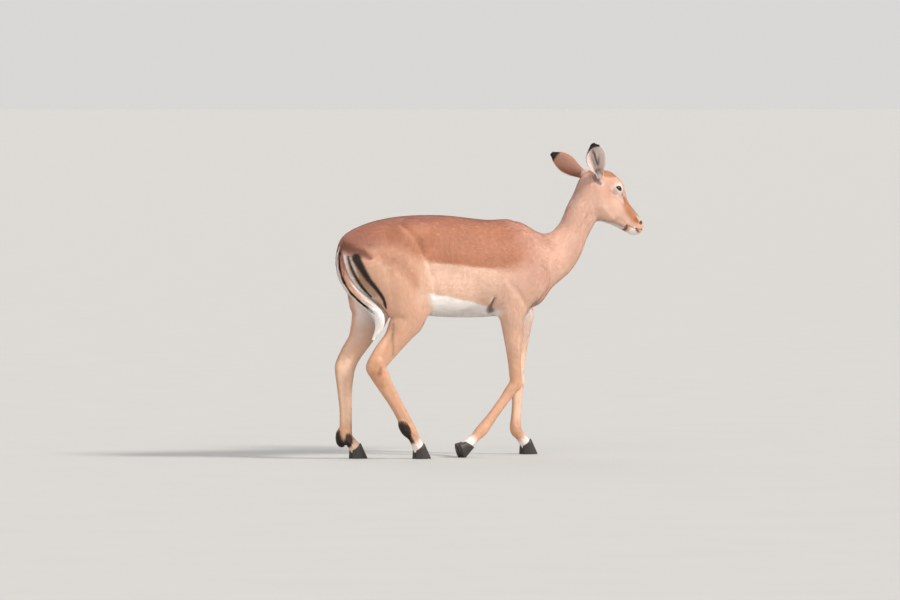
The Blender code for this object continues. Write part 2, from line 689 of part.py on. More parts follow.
def tail_tube(extra):
    """A round tube down the tail's path, this much thicker than the tail."""
    rows = smooth_through(TAIL_PATH, 2)
    along = np.gradient(rows[:, :3], axis=0)
    along /= np.linalg.norm(along, axis=1)[:, None]
    side = np.cross(along, [0, 1, 0])
    side /= np.linalg.norm(side, axis=1)[:, None]
    other = np.cross(along, side)
    angle = np.linspace(0, 2 * math.pi, 12, endpoint=False)
    radius = rows[:, 3:4, None] + extra
    ring = (side[:, None, :] * np.cos(angle)[None, :, None] * 0.8
            + other[:, None, :] * np.sin(angle)[None, :, None])
    points = rows[:, None, :3] + radius * ring
    points[0] -= along[0] * extra
    points[-1] += along[-1] * extra
    return points.reshape(-1, 3), ring_faces(len(rows), 12)


# ---------------------------------------------------------------- finish and build
def make_material(name):
    colour, roughness = COLOURS[name]
    finish = bpy.data.materials.new(name)
    finish.use_nodes = True
    shader = finish.node_tree.nodes["Principled BSDF"]
    shader.inputs["Base Color"].default_value = (*colour, 1)
    shader.inputs["Roughness"].default_value = roughness
    shader.inputs["Metallic"].default_value = 0
    return finish


def finish_object(made, name, finish, smooth_degrees=40):
    made.name = made.data.name = name
    made.data.transform(Matrix.Translation((-ORIGIN_X, 0, 0)))
    made.data.materials.clear()
    made.data.materials.append(finish)
    made.data.shade_smooth()
    made.data.set_sharp_from_angle(angle=math.radians(smooth_degrees))


def finish_name(node):
    """Which finish a node of flesh carries."""
    if node == "trunk":
        return "coat_red"
    if node == "tail":
        return "coat_dark"
    return "coat_tan"


def build():
    for old in list(bpy.data.objects):
        bpy.data.objects.remove(old, do_unlink=True)
    finishes = {name: make_material(name) for name in COLOURS}
    flesh = make_flesh()
    cuts = [cut[1:] for cut in BODY_CUTS] + leg_cuts() + ear_cuts()
    cutters = [outward(add_object("cutter", *gather([slab(*cut) for cut in cuts])))]
    cutters.append(outward(add_object("cutter", *tail_tube(GAP * 1.5))))
    for side, sign in LEG_Y.items():
        centre = (EYE_CENTRE[0], sign * EYE_CENTRE[1], EYE_CENTRE[2])
        cutters.append(make_ball("cutter", centre, EYE_RADIUS + GAP))
        finish_object(make_ball("eye", centre, EYE_RADIUS), f"eye_{side}", finishes["eye"])
    places = seeds()
    names, spots = list(places), np.array([places[name] for name in places])
    taken = {}
    for piece in loose_parts(cut_with(flesh, cutters)):
        points = mesh_points(piece)
        middle = (points.min(axis=0) + points.max(axis=0)) / 2
        name = names[int(np.argmin(np.linalg.norm(spots - middle, axis=1)))]
        if name.startswith("offcut") or name in taken:
            remove(piece)
            continue
        taken[name] = piece
        finish_object(outward(piece), name, finishes[finish_name(name)])
    finish_object(outward(add_object("tail", *tail_tube(0))), "tail", finishes["coat_dark"])
    for side in LEG_Y:
        finish_object(make_ear(side), f"ear_{side}", finishes["coat_tan"])
        for end in ("fore", "hind"):
            for which in ("inner", "outer"):
                claw = make_claw(end, side, which)
                finish_object(claw, claw.name, finishes["hoof"])


build()
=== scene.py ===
# %% [markdown]
# # A life-size impala ewe
#
# The solid model is a fixed frame: trunk, neck, head, legs, ears, eyes, hooves and tail, each a
# closed body.  This script dresses it.  One fine skin replaces the flesh, thousands of small
# tufts lie over it as the hair does, and eyes, ears, hooves and tail are made anew in detail.
#
# Every shape is worked out as whole numpy arrays.  Lengths are metres, +X points to the muzzle,
# +Y to the animal's left and +Z up.  The tables count X from the middle of the belly, because
# that is where a maker would measure from; a finished mesh is moved back by ORIGIN_X.

# %% Load the frame
import math
import time

import bmesh
import bpy
import numpy as np
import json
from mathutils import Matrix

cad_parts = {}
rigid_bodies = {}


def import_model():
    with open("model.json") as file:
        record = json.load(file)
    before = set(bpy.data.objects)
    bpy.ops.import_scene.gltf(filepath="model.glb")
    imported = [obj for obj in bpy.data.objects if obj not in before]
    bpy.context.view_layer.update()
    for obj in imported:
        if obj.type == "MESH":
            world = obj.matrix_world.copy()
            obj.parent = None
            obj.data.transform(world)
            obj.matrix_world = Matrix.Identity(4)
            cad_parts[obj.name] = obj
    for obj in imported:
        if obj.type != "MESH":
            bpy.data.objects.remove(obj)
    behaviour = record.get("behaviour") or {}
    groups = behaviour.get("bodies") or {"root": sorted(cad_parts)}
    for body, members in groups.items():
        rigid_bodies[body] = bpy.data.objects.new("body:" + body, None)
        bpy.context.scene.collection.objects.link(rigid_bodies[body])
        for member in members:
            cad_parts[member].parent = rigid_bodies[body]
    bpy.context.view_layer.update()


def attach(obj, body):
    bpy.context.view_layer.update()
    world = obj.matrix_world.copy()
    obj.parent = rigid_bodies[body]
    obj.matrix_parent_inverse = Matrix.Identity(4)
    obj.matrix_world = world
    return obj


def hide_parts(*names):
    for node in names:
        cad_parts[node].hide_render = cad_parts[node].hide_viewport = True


clock = time.time()
for old in list(bpy.data.objects):
    bpy.data.objects.remove(old, do_unlink=True)
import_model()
ORIGIN_X = 0.132
SIDES = {"right": -1.0, "left": 1.0}

# %% [markdown]
# ## The body as sections
#
# A sculptor could push clay about in Sculpt Mode.  Here the body is a set of ovals instead, each
# given by its upper point, its lower point and its half width, because a named number is easy to
# check against a living animal and to change.  The last number of a row says how much wider the
# lower half is than the upper half.

# %% Sections of trunk, neck and head
TRUNK = [
    ((-0.497, 0.792), (-0.480, 0.715), 0.026, 0.0),
    ((-0.465, 0.828), (-0.450, 0.640), 0.062, 0.0),
    ((-0.400, 0.857), (-0.395, 0.580), 0.088, 0.0),
    ((-0.320, 0.877), (-0.320, 0.548), 0.101, 0.0),
    ((-0.235, 0.887), (-0.235, 0.534), 0.104, 0.04),
    ((-0.150, 0.890), (-0.150, 0.520), 0.112, 0.10),
    ((-0.050, 0.887), (-0.050, 0.512), 0.130, 0.12),
    ((0.050, 0.876), (0.050, 0.510), 0.136, 0.12),
    ((0.130, 0.868), (0.130, 0.513), 0.126, 0.10),
    ((0.195, 0.856), (0.205, 0.525), 0.108, 0.06),
    ((0.250, 0.830), (0.262, 0.548), 0.088, 0.0),
    ((0.292, 0.795), (0.300, 0.590), 0.064, 0.0),
    ((0.324, 0.745), (0.326, 0.650), 0.038, 0.0),
]
NECK = [
    ((0.215, 0.838), (0.292, 0.596), 0.080, 0.10),
    ((0.298, 0.806), (0.372, 0.620), 0.070, 0.10),
    ((0.374, 0.814), (0.446, 0.658), 0.058, 0.10),
    ((0.436, 0.862), (0.492, 0.714), 0.050, 0.10),
    ((0.470, 0.930), (0.527, 0.784), 0.044, 0.08),
    ((0.503, 0.985), (0.572, 0.856), 0.043, 0.06),
    ((0.540, 1.030), (0.590, 0.900), 0.042, 0.0),
]
HEAD = [
    ((0.552, 1.036), (0.545, 0.925), 0.040, 0.0),
    ((0.594, 1.050), (0.562, 0.896), 0.048, -0.05),
    ((0.640, 1.045), (0.582, 0.877), 0.050, -0.15),
    ((0.671, 1.018), (0.603, 0.864), 0.049, -0.20),
    ((0.689, 0.985), (0.628, 0.854), 0.043, -0.18),
    ((0.703, 0.951), (0.656, 0.844), 0.036, -0.12),
    ((0.726, 0.921), (0.687, 0.831), 0.030, -0.05),
    ((0.752, 0.894), (0.716, 0.817), 0.026, 0.0),
    ((0.773, 0.868), (0.741, 0.807), 0.0245, 0.0),
    ((0.780, 0.852), (0.757, 0.815), 0.019, 0.0),
]

# %% [markdown]
# The legs are bones first: joints joined by straight lines, taken from how the animal strides.
# Ovals stand across each bone, so the same flesh serves left and right in different poses.

# %% Joints and sections of the legs
HIP_Y, HOCK_Y, HIND_FOOT_Y = 0.062, 0.066, 0.066
SHOULDER_Y, KNEE_Y, FORE_FOOT_Y = 0.066, 0.062, 0.058
HIND_JOINTS = {
    "right": [(-0.300, 0.745), (-0.215, 0.520), (-0.390, 0.338), (-0.249, 0.105), (-0.212, 0.040)],
    "left": [(-0.300, 0.745), (-0.302, 0.512), (-0.446, 0.334), (-0.443, 0.082), (-0.404, 0.040)],
}
FORE_JOINTS = {
    "right": [(0.200, 0.775), (0.263, 0.640), (0.176, 0.520), (0.204, 0.268), (0.062, 0.098),
              (-0.003, 0.0445)],
    "left": [(0.200, 0.775), (0.294, 0.650), (0.300, 0.515), (0.284, 0.270), (0.271, 0.092),
             (0.314, 0.040)],
}
FOOT_PITCH = {("hind", "right"): 0.0, ("hind", "left"): 0.0,
              ("fore", "left"): 0.0, ("fore", "right"): 72.0}

# Bone number, share along it, reach in front of and behind the bone's line, half width.
HIND_SECTIONS = [
    (0, 0.00, 0.115, 0.125, 0.050),
    (0, 0.30, 0.105, 0.135, 0.056),
    (0, 0.62, 0.080, 0.130, 0.055),
    (0, 0.88, 0.052, 0.120, 0.048),
    (1, 0.12, 0.038, 0.104, 0.043),
    (1, 0.32, 0.034, 0.082, 0.036),
    (1, 0.55, 0.031, 0.059, 0.029),
    (1, 0.78, 0.030, 0.054, 0.023),
    (2, 0.00, 0.040, 0.043, 0.0235),
    (2, 0.12, 0.034, 0.041, 0.0215),
    (2, 0.30, 0.027, 0.034, 0.0190),
    (2, 0.60, 0.025, 0.025, 0.0175),
    (2, 0.86, 0.024, 0.025, 0.0185),
    (3, 0.05, 0.024, 0.026, 0.0205),
    (3, 0.50, 0.020, 0.020, 0.0185),
    (3, 1.10, 0.022, 0.024, 0.0225),
]
FORE_SECTIONS = [
    (0, 0.05, 0.050, 0.060, 0.030),
    (0, 0.60, 0.055, 0.085, 0.040),
    (1, 0.00, 0.048, 0.110, 0.042),
    (1, 0.55, 0.045, 0.085, 0.042),
    (2, 0.00, 0.052, 0.046, 0.038),
    (2, 0.15, 0.046, 0.042, 0.034),
    (2, 0.35, 0.037, 0.035, 0.029),
    (2, 0.62, 0.026, 0.028, 0.023),
    (2, 0.86, 0.022, 0.026, 0.0205),
    (3, 0.00, 0.023, 0.028, 0.0225),
    (3, 0.14, 0.020, 0.025, 0.0195),
    (3, 0.35, 0.018, 0.021, 0.0165),
    (3, 0.68, 0.017, 0.020, 0.0160),
    (3, 0.92, 0.020, 0.024, 0.0190),
    (4, 0.12, 0.020, 0.024, 0.0195),
    (4, 0.50, 0.017, 0.019, 0.0175),
    (4, 1.10, 0.020, 0.022, 0.0215),
]

# %% [markdown]
# Ovals alone look like pipes.  Rounded lumps on both sides stand for what lies under the skin:
# the hip bone, the shoulder blade, the brow over the eye.  Each is an ellipsoid: its centre, its
# radii along, across and deep, the way it points, and how softly it runs into the rest.

# %% Muscles and bony points
MUSCLES = [
    ((-0.240, 0.070, 0.828), (0.060, 0.026, 0.030), (1, 0, 0.1), 0.07),  # hip bone
    ((-0.105, 0.082, 0.596), (0.090, 0.044, 0.060), (1, 0, 0), 0.06),  # side of the belly
    ((0.225, 0.072, 0.715), (0.060, 0.026, 0.105), (1, 0, 0.45), 0.05),  # shoulder blade
    ((0.274, 0.058, 0.642), (0.034, 0.024, 0.045), (1, 0, 0.35), 0.05),  # point of the shoulder
    ((0.300, 0.000, 0.615), (0.040, 0.034, 0.060), (1, 0, 0.55), 0.05),  # breast
    ((0.650, 0.034, 0.990), (0.030, 0.022, 0.022), (0.62, 0, -0.78), 0.024),  # brow
    ((0.612, 0.029, 0.905), (0.048, 0.018, 0.036), (0.8, 0, -0.6), 0.030),  # cheek
]
TUFT_RADII, TUFT_BACK, TUFT_OUT = (0.034, 0.017, 0.017), 0.019, 0.007
TUFT_RAISED = {"right": 0.022, "left": -0.004}
EYE_CENTRE, EYE_RADIUS = (0.644, 0.0455, 0.979), 0.0175
EAR_ROOT = (0.566, 0.040, 1.032)
EAR_TIP = {"right": (0.480, -0.150, 1.143), "left": (0.484, 0.154, 1.108)}
EAR_STUB_RADII = (0.021, 0.0215, 0.0205)

# %% [markdown]
# ## From sections to tubes
#
# A smooth curve through the rows fills in ovals between them.  Blender has curves with a bevel
# for this, but a plain cubic through four neighbouring rows does it for any number of columns,
# so place, depth and width are all smoothed by one line of algebra.


# %% Curves through sections
def unit(vector):
    """The vector at length 1."""
    return vector / np.linalg.norm(vector)


def unit_rows(vectors, least=0.0):
    """Every row at length 1; least keeps a row of zeros from being divided by nothing."""
    return vectors / np.maximum(np.linalg.norm(vectors, axis=-1, keepdims=True), least)


def on_side(place, side):
    """A place or a direction given for the left side, mirrored for the right side."""
    return np.array(place) * [1, SIDES[side], 1]


def smooth_through(rows, steps):
    """Cubic through each pair of rows, with slopes taken from the rows on either side."""
    rows = np.asarray(rows, float)
    padded = np.vstack([2 * rows[0] - rows[1], rows, 2 * rows[-1] - rows[-2]])
    t = np.linspace(0, 1, steps, endpoint=False)[:, None]
    out = []
    for a, b, c, d in zip(padded, padded[1:], padded[2:], padded[3:]):
        out.append(0.5 * (2 * b + (c - a) * t + (2 * a - 5 * b + 4 * c - d) * t**2
                          + (3 * b - a - 3 * c + d) * t**3))
    return np.vstack(out + [rows[-1:]])


def profile_sections(profile):
    """Rows: centre x, y, z; half depth vector x, z; half width; lower-half gain."""
    rows = [[(x0 + x1) / 2, 0, (z0 + z1) / 2, (x0 - x1) / 2, (z0 - z1) / 2, half, gain]
            for (x0, z0), (x1, z1), half, gain in profile]
    return smooth_through(rows, 5)


def leg_sections(joints, sections, ys):
    """Each section stands square to its bone and turns halfway where it nears a joint."""
    joints = np.asarray(joints, float)
    along = np.diff(joints, axis=0)
    down = np.cumsum(np.r_[0, np.linalg.norm(along, axis=1)])
    along = unit_rows(along)
    rows = []
    for bone, share, front, back, half in sections:
        place = joints[bone] + (joints[bone + 1] - joints[bone]) * share
        near = bone - 1 if share < 0.5 else bone + 1
        other = along[min(max(near, 0), len(along) - 1)]
        turn = 0.5 * abs(1 - 2 * min(share, 1.0)) ** 3
        d = unit(along[bone] * (1 - turn) + other * turn)
        front_way = np.array([-d[1], d[0]])
        middle = place + front_way * (front - back) / 2
        deep = front_way * (front + back) / 2
        y = np.interp(down[bone] + share * (down[bone + 1] - down[bone]), down, ys)
        rows.append([middle[0], y, middle[1], deep[0], deep[1], half, 0])
    return smooth_through(rows, 4)


def hind_ys(sign):
    """How far to the side each joint of a hind leg stands."""
    return [sign * v for v in (HIP_Y, HOCK_Y + 0.008, HOCK_Y, HIND_FOOT_Y, HIND_FOOT_Y)]


def fore_ys(sign):
    """The same for a foreleg."""
    return [sign * v for v in (SHOULDER_Y - 0.012, SHOULDER_Y, SHOULDER_Y + 0.004, KNEE_Y,
                               FORE_FOOT_Y, FORE_FOOT_Y)]


TUBES = {"trunk": (profile_sections(TRUNK), 0.0), "neck": (profile_sections(NECK), 0.10),
         "head": (profile_sections(HEAD), 0.035)}
for end, joints, sections, ys, width in (("hind", HIND_JOINTS, HIND_SECTIONS, hind_ys, 0.045),
                                         ("fore", FORE_JOINTS, FORE_SECTIONS, fore_ys, 0.040)):
    for side, sign in SIDES.items():
        TUBES[end, side] = leg_sections(joints[side], sections, ys(sign)), width
print("tubes:", {str(name): len(rows) for name, (rows, _) in TUBES.items()})

# %% [markdown]
# ## Distance instead of faces
#
# To melt tubes and lumps into one skin, each is turned into a rule that says how far a point is
# outside it.  The smaller of two distances is their union, and rounding that minimum where the
# two are nearly equal makes the fillet.  Metaballs do something like this in Blender, but with
# round balls only; ovals keep the animal's real section.


# %% Distance outside a tube, an ellipsoid and the whole body
REACH = 0.12            # further than this from a shape, its exact distance doesn't matter
WIDEST = 1.3            # no oval reaches further than this many half axes from its centre
CAP = 0.8               # a tube ends in a cap of this share of its last oval
TINY = 1e-6             # keeps a division from meeting zero


def tube_field(points, rows, want_place=False):
    """A point lies a share h between two section planes.  In that oval its offsets over the half
    axes have length 1 on the surface, so (length - 1), scaled back to metres, is the distance.
    The place is the row number, then the upward and the sideways offset in half axes."""
    best = np.full(len(points), REACH)
    place = np.zeros((len(points), 3))
    for i, (a, b) in enumerate(zip(rows, rows[1:])):
        size = WIDEST * max(np.hypot(a[3], a[4]), np.hypot(b[3], b[4]), a[5], b[5]) + REACH
        near = np.flatnonzero(((points - (a[:3] + b[:3]) / 2) ** 2).sum(axis=1) < size**2)
        if len(near) == 0:
            continue
        p = points[near]
        normal_a = np.array([a[4], -a[3]]) / np.hypot(a[3], a[4])
        normal_b = np.array([b[4], -b[3]]) / np.hypot(b[3], b[4])
        if (b[0] - a[0]) * (normal_a + normal_b)[0] + (b[2] - a[2]) * (normal_a + normal_b)[1] < 0:
            normal_a, normal_b = -normal_a, -normal_b
        past_a = (p[:, 0] - a[0]) * normal_a[0] + (p[:, 2] - a[2]) * normal_a[1]
        past_b = (p[:, 0] - b[0]) * normal_b[0] + (p[:, 2] - b[2]) * normal_b[1]
        h = np.clip(past_a / np.maximum(past_a - past_b, 1e-5), 0, 1)
        row = a + (b - a) * h[:, None]
        deep = np.hypot(row[:, 3], row[:, 4])
        ux, uz = row[:, 3] / deep, row[:, 4] / deep
        q = p - row[:, :3]
        up = (q[:, 0] * ux + q[:, 2] * uz) / deep
        wide = row[:, 5] * (1 - row[:, 6] * np.clip(up, -1, 1))
        side = q[:, 1] / wide
        cap = np.minimum(deep, wide) * CAP
        end = (q[:, 0] * uz - q[:, 2] * ux) / cap
        size = np.sqrt(up**2 + side**2 + end**2)
        slope = np.sqrt((up / deep) ** 2 + (side / wide) ** 2 + (end / cap) ** 2)
        found = size * (size - 1) / np.maximum(slope, TINY)
        better = found < best[near]
        best[near[better]] = found[better]
        if want_place:
            place[near[better]] = np.stack([i + h, up, side], axis=1)[better]
    return (best, place) if want_place else best


def axes_of(direction):
    """Rows: the direction, the sideways axis nearest to +Y, and the axis square to both."""
    along = unit(np.asarray(direction, float))
    across = unit(np.array([0.0, 1.0, 0.0]) - along[1] * along)
    return np.stack([along, across, np.cross(along, across)])


def muscle_field(points, centre, radii, direction):
    """The same rule for an ellipsoid: offsets over its radii have length 1 on its surface."""
    found = np.full(len(points), REACH)
    offset = points - np.asarray(centre)
    near = np.flatnonzero((offset**2).sum(axis=1) < (max(radii) + REACH) ** 2)
    local = offset[near] @ axes_of(direction).T
    size = np.linalg.norm(local / radii, axis=1)
    slope = np.linalg.norm(local / np.square(radii), axis=1)
    found[near] = size * (size - 1) / np.maximum(slope, TINY)
    return found


def blend(a, b, width):
    """The smaller distance, lowered by a rounded fillet where both are within the width."""
    near = np.maximum(width - np.abs(a - b), 0) / width
    return np.minimum(a, b) - near**2 * width / 4


def ear_axis(side):
    """The ear's root, its direction and its length."""
    root = on_side(EAR_ROOT, side)
    reach = np.array(EAR_TIP[side]) - root
    return root, unit(reach), np.linalg.norm(reach)


def gland_tuft(side):
    """The tuft of hair over the scent gland behind a hind fetlock, as an ellipsoid."""
    above, here = np.array(HIND_JOINTS[side][2]), np.array(HIND_JOINTS[side][3])
    down = unit(here - above)
    back = np.array([down[1], -down[0]])
    place = here + back * TUFT_BACK - down * TUFT_RAISED[side]
    outer = SIDES[side] * (HIND_FOOT_Y + TUFT_OUT)
    return (place[0], outer, place[1]), TUFT_RADII, (down[0], 0, down[1]), 0.012


LUMPS = []
for centre, radii, direction, width in MUSCLES:
    for sign in (1, -1) if centre[1] else (1,):
        LUMPS.append(((centre[0], sign * centre[1], centre[2]), radii, direction, width))
for side in SIDES:
    root, along, _ = ear_axis(side)
    LUMPS.append((tuple(root + along * 0.004), EAR_STUB_RADII, tuple(along), 0.020))
    LUMPS.append(gland_tuft(side))


def flesh_field(points):
    """Distance outside the whole animal."""
    found = None
    for rows, width in TUBES.values():
        here = tube_field(points, rows)
        found = here if found is None else blend(found, here, width)
    for centre, radii, direction, width in LUMPS:
        found = blend(found, muscle_field(points, centre, radii, direction), width)
    return found


# %% [markdown]
# ## Where on the body a point is
#
# Colour, hair length and the lie of the hair all depend on where a point sits: how far along
# which tube, and how far round it.  This is worked out once and handed on.  Hair runs from the
# nose back over the head, down the neck, back along the trunk and down the legs.


# %% Places and the lie of the coat
def ramp(low, high, value):
    """0 below low, 1 above high, and an S-shaped rise between them."""
    t = np.clip((value - low) / (high - low), 0, 1)
    return t * t * (3 - 2 * t)


PLACE_SOFT = 0.012      # over this distance one tube hands over to the next
HAIR_FALL = 0.30        # how much the hair of the flanks slopes down as it runs back


def body_places(points):
    """For each tube the share along it, the angle round it and the offsets in half axes, and for
    each point the weight of each tube, which falls off by a factor e for every PLACE_SOFT."""
    found, distances = {}, []
    for name, (rows, _) in TUBES.items():
        distance, place = tube_field(points, rows, True)
        found[name] = {"share": place[:, 0] / (len(rows) - 1),
                       "round": np.arctan2(place[:, 2], place[:, 1]),
                       "up": place[:, 1], "side": place[:, 2], "row": place[:, 0]}
        distances.append(distance)
    distances = np.array(distances)
    weight = np.exp(-(distances - distances.min(axis=0)) / PLACE_SOFT)
    weight /= weight.sum(axis=0)
    for name, w in zip(found, weight):
        found[name]["weight"] = w
    return found


def hair_way(points, normals, places):
    """The mean of the tubes' directions, weighted, laid flat against the surface."""
    way = np.zeros_like(points)
    for name, (rows, _) in TUBES.items():
        slope = unit_rows(np.gradient(rows[:, :3], axis=0))
        slope *= -1.0 if name in ("trunk", "neck", "head") else 1.0
        index = np.clip(places[name]["row"], 0, len(rows) - 1)
        here = np.stack([np.interp(index, np.arange(len(rows)), slope[:, k]) for k in range(3)], 1)
        way += here * places[name]["weight"][:, None]
    way[:, 2] -= HAIR_FALL * places["trunk"]["weight"]
    way -= (way * normals).sum(axis=1)[:, None] * normals
    return unit_rows(way, TINY)


# %% [markdown]
# ## The skin
#
# Rough tubes and balls are joined by a voxel Remesh, which makes one even net of squares out of
# anything that overlaps.  The net is then moved on to the exact surface, so the rough start
# leaves no trace.  Only the face and the feet need small faces, and are divided further.


# %% Mesh helpers
def ring_faces(rings, count):
    """Quads between neighbouring rings, and a cap at each end."""
    i, j = np.meshgrid(np.arange(rings - 1), np.arange(count), indexing="ij")
    a, k = i * count, (j + 1) % count
    quads = np.stack([a + j, a + k, a + count + k, a + count + j], axis=2).reshape(-1, 4)
    caps = [tuple(range(count))[::-1], tuple((rings - 1) * count + n for n in range(count))]
    return [tuple(q) for q in quads.tolist()] + caps


def around(count):
    """The angles of even steps round a circle."""
    return np.linspace(0, 2 * math.pi, count, endpoint=False)


def in_scene(name, data):
    """A new object in the scene for a mesh, a lamp or a camera."""
    made = bpy.data.objects.new(name, data)
    bpy.context.scene.collection.objects.link(made)
    return made


def plain_object(name, points, faces):
    """A new object with these points and faces."""
    mesh = bpy.data.meshes.new(name)
    mesh.from_pydata(np.asarray(points).tolist(), [], faces)
    return in_scene(name, mesh)


def applied(source, name):
    """A plain object with the mesh that the source shows; the source goes."""
    shown = source.evaluated_get(bpy.context.evaluated_depsgraph_get())
    made = in_scene(name, bpy.data.meshes.new_from_object(shown))
    bpy.data.objects.remove(source, do_unlink=True)
    return made


def threes(items, name, kind=float):
    """The same three numbers of every item of a mesh, as the rows of an array."""
    found = np.empty(len(items) * 3, kind)
    items.foreach_get(name, found)
    return found.reshape(-1, 3)


def get_points(mesh):
    return threes(mesh.vertices, "co")


def get_normals(mesh):
    return threes(mesh.vertex_normals, "vector")


def put_points(mesh, points):
    mesh.vertices.foreach_set("co", points.ravel())
    mesh.update()


def turn_outward(mesh):
    """Faces agree with their neighbours, and the enclosed volume is positive."""
    work = bmesh.new()
    work.from_mesh(mesh)
    bmesh.ops.recalc_face_normals(work, faces=work.faces)
    if work.calc_volume(signed=True) < 0:
        bmesh.ops.reverse_faces(work, faces=work.faces)
    work.to_mesh(mesh)
    work.free()


SLOPE_STEP = 0.0005     # half a millimetre
LONGEST_MOVE = 0.02     # in one round of settling


def field_slope(points, here):
    """How the distance grows along each axis, by a small step along it."""
    return np.stack([(flesh_field(points + SLOPE_STEP * axis) - here) / SLOPE_STEP
                     for axis in np.eye(3)], 1)


def settle(points, depth, rounds=3):
    """Newton's method: moves points along the slope until they lie this depth inside the body."""
    for _ in range(rounds):
        here = flesh_field(points)
        slope = field_slope(points, here)
        steep = np.maximum((slope**2).sum(axis=1), 0.2)
        move = np.clip((here + depth) / steep, -LONGEST_MOVE, LONGEST_MOVE)
        points = points - slope * move[:, None]
    return points


# %% Rough union, fine net
SKIN_VOXEL = 0.0056
RING = 20               # points round a rough tube or ball
COAT_LEAST, COAT_MORE = 0.0010, 0.0020
FACE_THINNING = 0.85    # share of COAT_MORE that is missing on the face


def rough_tube(rows):
    """Ovals: depth by the cosine and width by the sine of the angle round them."""
    angle = around(RING)
    ring = [rows[:, k, None] + rows[:, d, None] * wave
            for k, d, wave in ((0, 3, np.cos(angle)), (1, 5, np.sin(angle)), (2, 4, np.cos(angle)))]
    return np.stack(ring, axis=2).reshape(-1, 3), ring_faces(len(rows), RING)


def rough_ball(centre, radii, direction, rings=9):
    """Rings round the long axis: cosine of the tilt along it, sine of the tilt across."""
    tilt = np.linspace(0.04, math.pi - 0.04, rings)[:, None]
    angle = around(RING)[None, :]
    local = np.stack([radii[0] * np.cos(tilt) + 0 * angle, radii[1] * np.sin(tilt) * np.cos(angle),
                      radii[2] * np.sin(tilt) * np.sin(angle)], axis=2)
    points = np.asarray(centre) + local.reshape(-1, 3) @ axes_of(direction)
    return points, ring_faces(rings, RING)


def coat_depth(points):
    """How thick the coat lies: 3 mm on the trunk, thinner towards the face and down the legs."""
    high = ramp(0.30, 0.56, points[:, 2])
    face = ramp(0.50, 0.60, points[:, 0])
    return COAT_LEAST + COAT_MORE * high * (1 - FACE_THINNING * face)


def divide(mesh, chosen):
    """Cuts every face with all corners chosen into four."""
    work = bmesh.new()
    work.from_mesh(mesh)
    work.verts.ensure_lookup_table()
    flags = chosen.tolist()
    edges = [e for e in work.edges if flags[e.verts[0].index] and flags[e.verts[1].index]]
    bmesh.ops.subdivide_edges(work, edges=edges, cuts=1, use_grid_fill=True)
    work.to_mesh(mesh)
    work.free()


def near_any(points, spots):
    """True within its radius of any (x, y, z, radius), on both sides."""
    found = np.zeros(len(points), bool)
    for x, y, z, radius in spots:
        offset = np.stack([points[:, 0] - x, np.abs(points[:, 1]) - y, points[:, 2] - z])
        found |= (offset**2).sum(axis=0) < radius**2
    return found


# The head and the feet are divided once, the eyes and the muzzle up to three times.
FOOT_TOP, HEAD_BACK, HEAD_LOW = 0.125, 0.545, 0.80
FINE_SPOTS = [[(0.644, 0.055, 0.979, 0.034), (0.762, 0.012, 0.850, 0.030),
               (0.735, 0.012, 0.832, 0.030)],
              [(0.644, 0.060, 0.979, 0.020), (0.768, 0.012, 0.854, 0.013)]]
shapes = [rough_tube(rows) for rows, _ in TUBES.values()]
shapes += [rough_ball(*lump[:3]) for lump in LUMPS]
all_points, all_faces, start = [], [], 0
for points, faces in shapes:
    all_points.append(points)
    all_faces += [tuple(start + i for i in face) for face in faces]
    start += len(points)
rough = plain_object("rough", np.vstack(all_points), all_faces)
turn_outward(rough.data)
remesh = rough.modifiers.new("union", "REMESH")
remesh.mode, remesh.voxel_size = "VOXEL", SKIN_VOXEL
soften = rough.modifiers.new("soften", "SMOOTH")
soften.factor, soften.iterations = 0.5, 3
skin = applied(rough, "skin")
points = get_points(skin.data)
on_head = (points[:, 0] > HEAD_BACK) & (points[:, 2] > HEAD_LOW)
divide(skin.data, (points[:, 2] < FOOT_TOP) | on_head)
for spots in FINE_SPOTS:
    divide(skin.data, near_any(get_points(skin.data), spots))
points = get_points(skin.data)
skin_points = settle(points, coat_depth(points), 2)
print("skin:", len(skin_points), "points,", round(time.time() - clock, 1), "s")

# %% [markdown]
# ## Folds, creases and lids
#
# A net that follows smooth tubes still lacks what a hand would cut in last: the crease in front of
# the thigh, the hollow before the heel tendon, the lips, the nostrils.  Each is a path laid over
# the body.  The path's points are first settled on the surface, then the skin near them moves in
# or out by a bell curve of the distance.


# %% Paths on the surface
def pin_all(paths, steps=14):
    """Each path filled in between its few points and settled on the body, all in one go."""
    filled = [smooth_through(path, steps) for path in paths]
    everything = np.vstack(filled)
    everything[:, :3] = settle(everything[:, :3], coat_depth(everything[:, :3]), 4)
    return np.split(everything, np.cumsum([len(path) for path in filled])[:-1])


def both_sides(path):
    """The path, and its mirror image where it leaves the middle."""
    path = np.asarray(path, float)
    mirrored = path * np.r_[1, -1, np.ones(path.shape[1] - 2)]
    return [path, mirrored] if np.abs(path[:, 1]).max() > 1e-6 else [path]


def path_ratio(points, path):
    """Distance to the nearest point of a path of (x, y, z, radius), over the radius there."""
    ratio = np.full(len(points), 9.0)
    reach = 3 * path[:, 3].max()
    near = np.flatnonzero(((points > path[:, :3].min(axis=0) - reach)
                           & (points < path[:, :3].max(axis=0) + reach)).all(axis=1))
    if len(near):
        gap = np.linalg.norm(points[near, None, :] - path[None, :, :3], axis=2) / path[None, :, 3]
        ratio[near] = gap.min(axis=1)
    return ratio


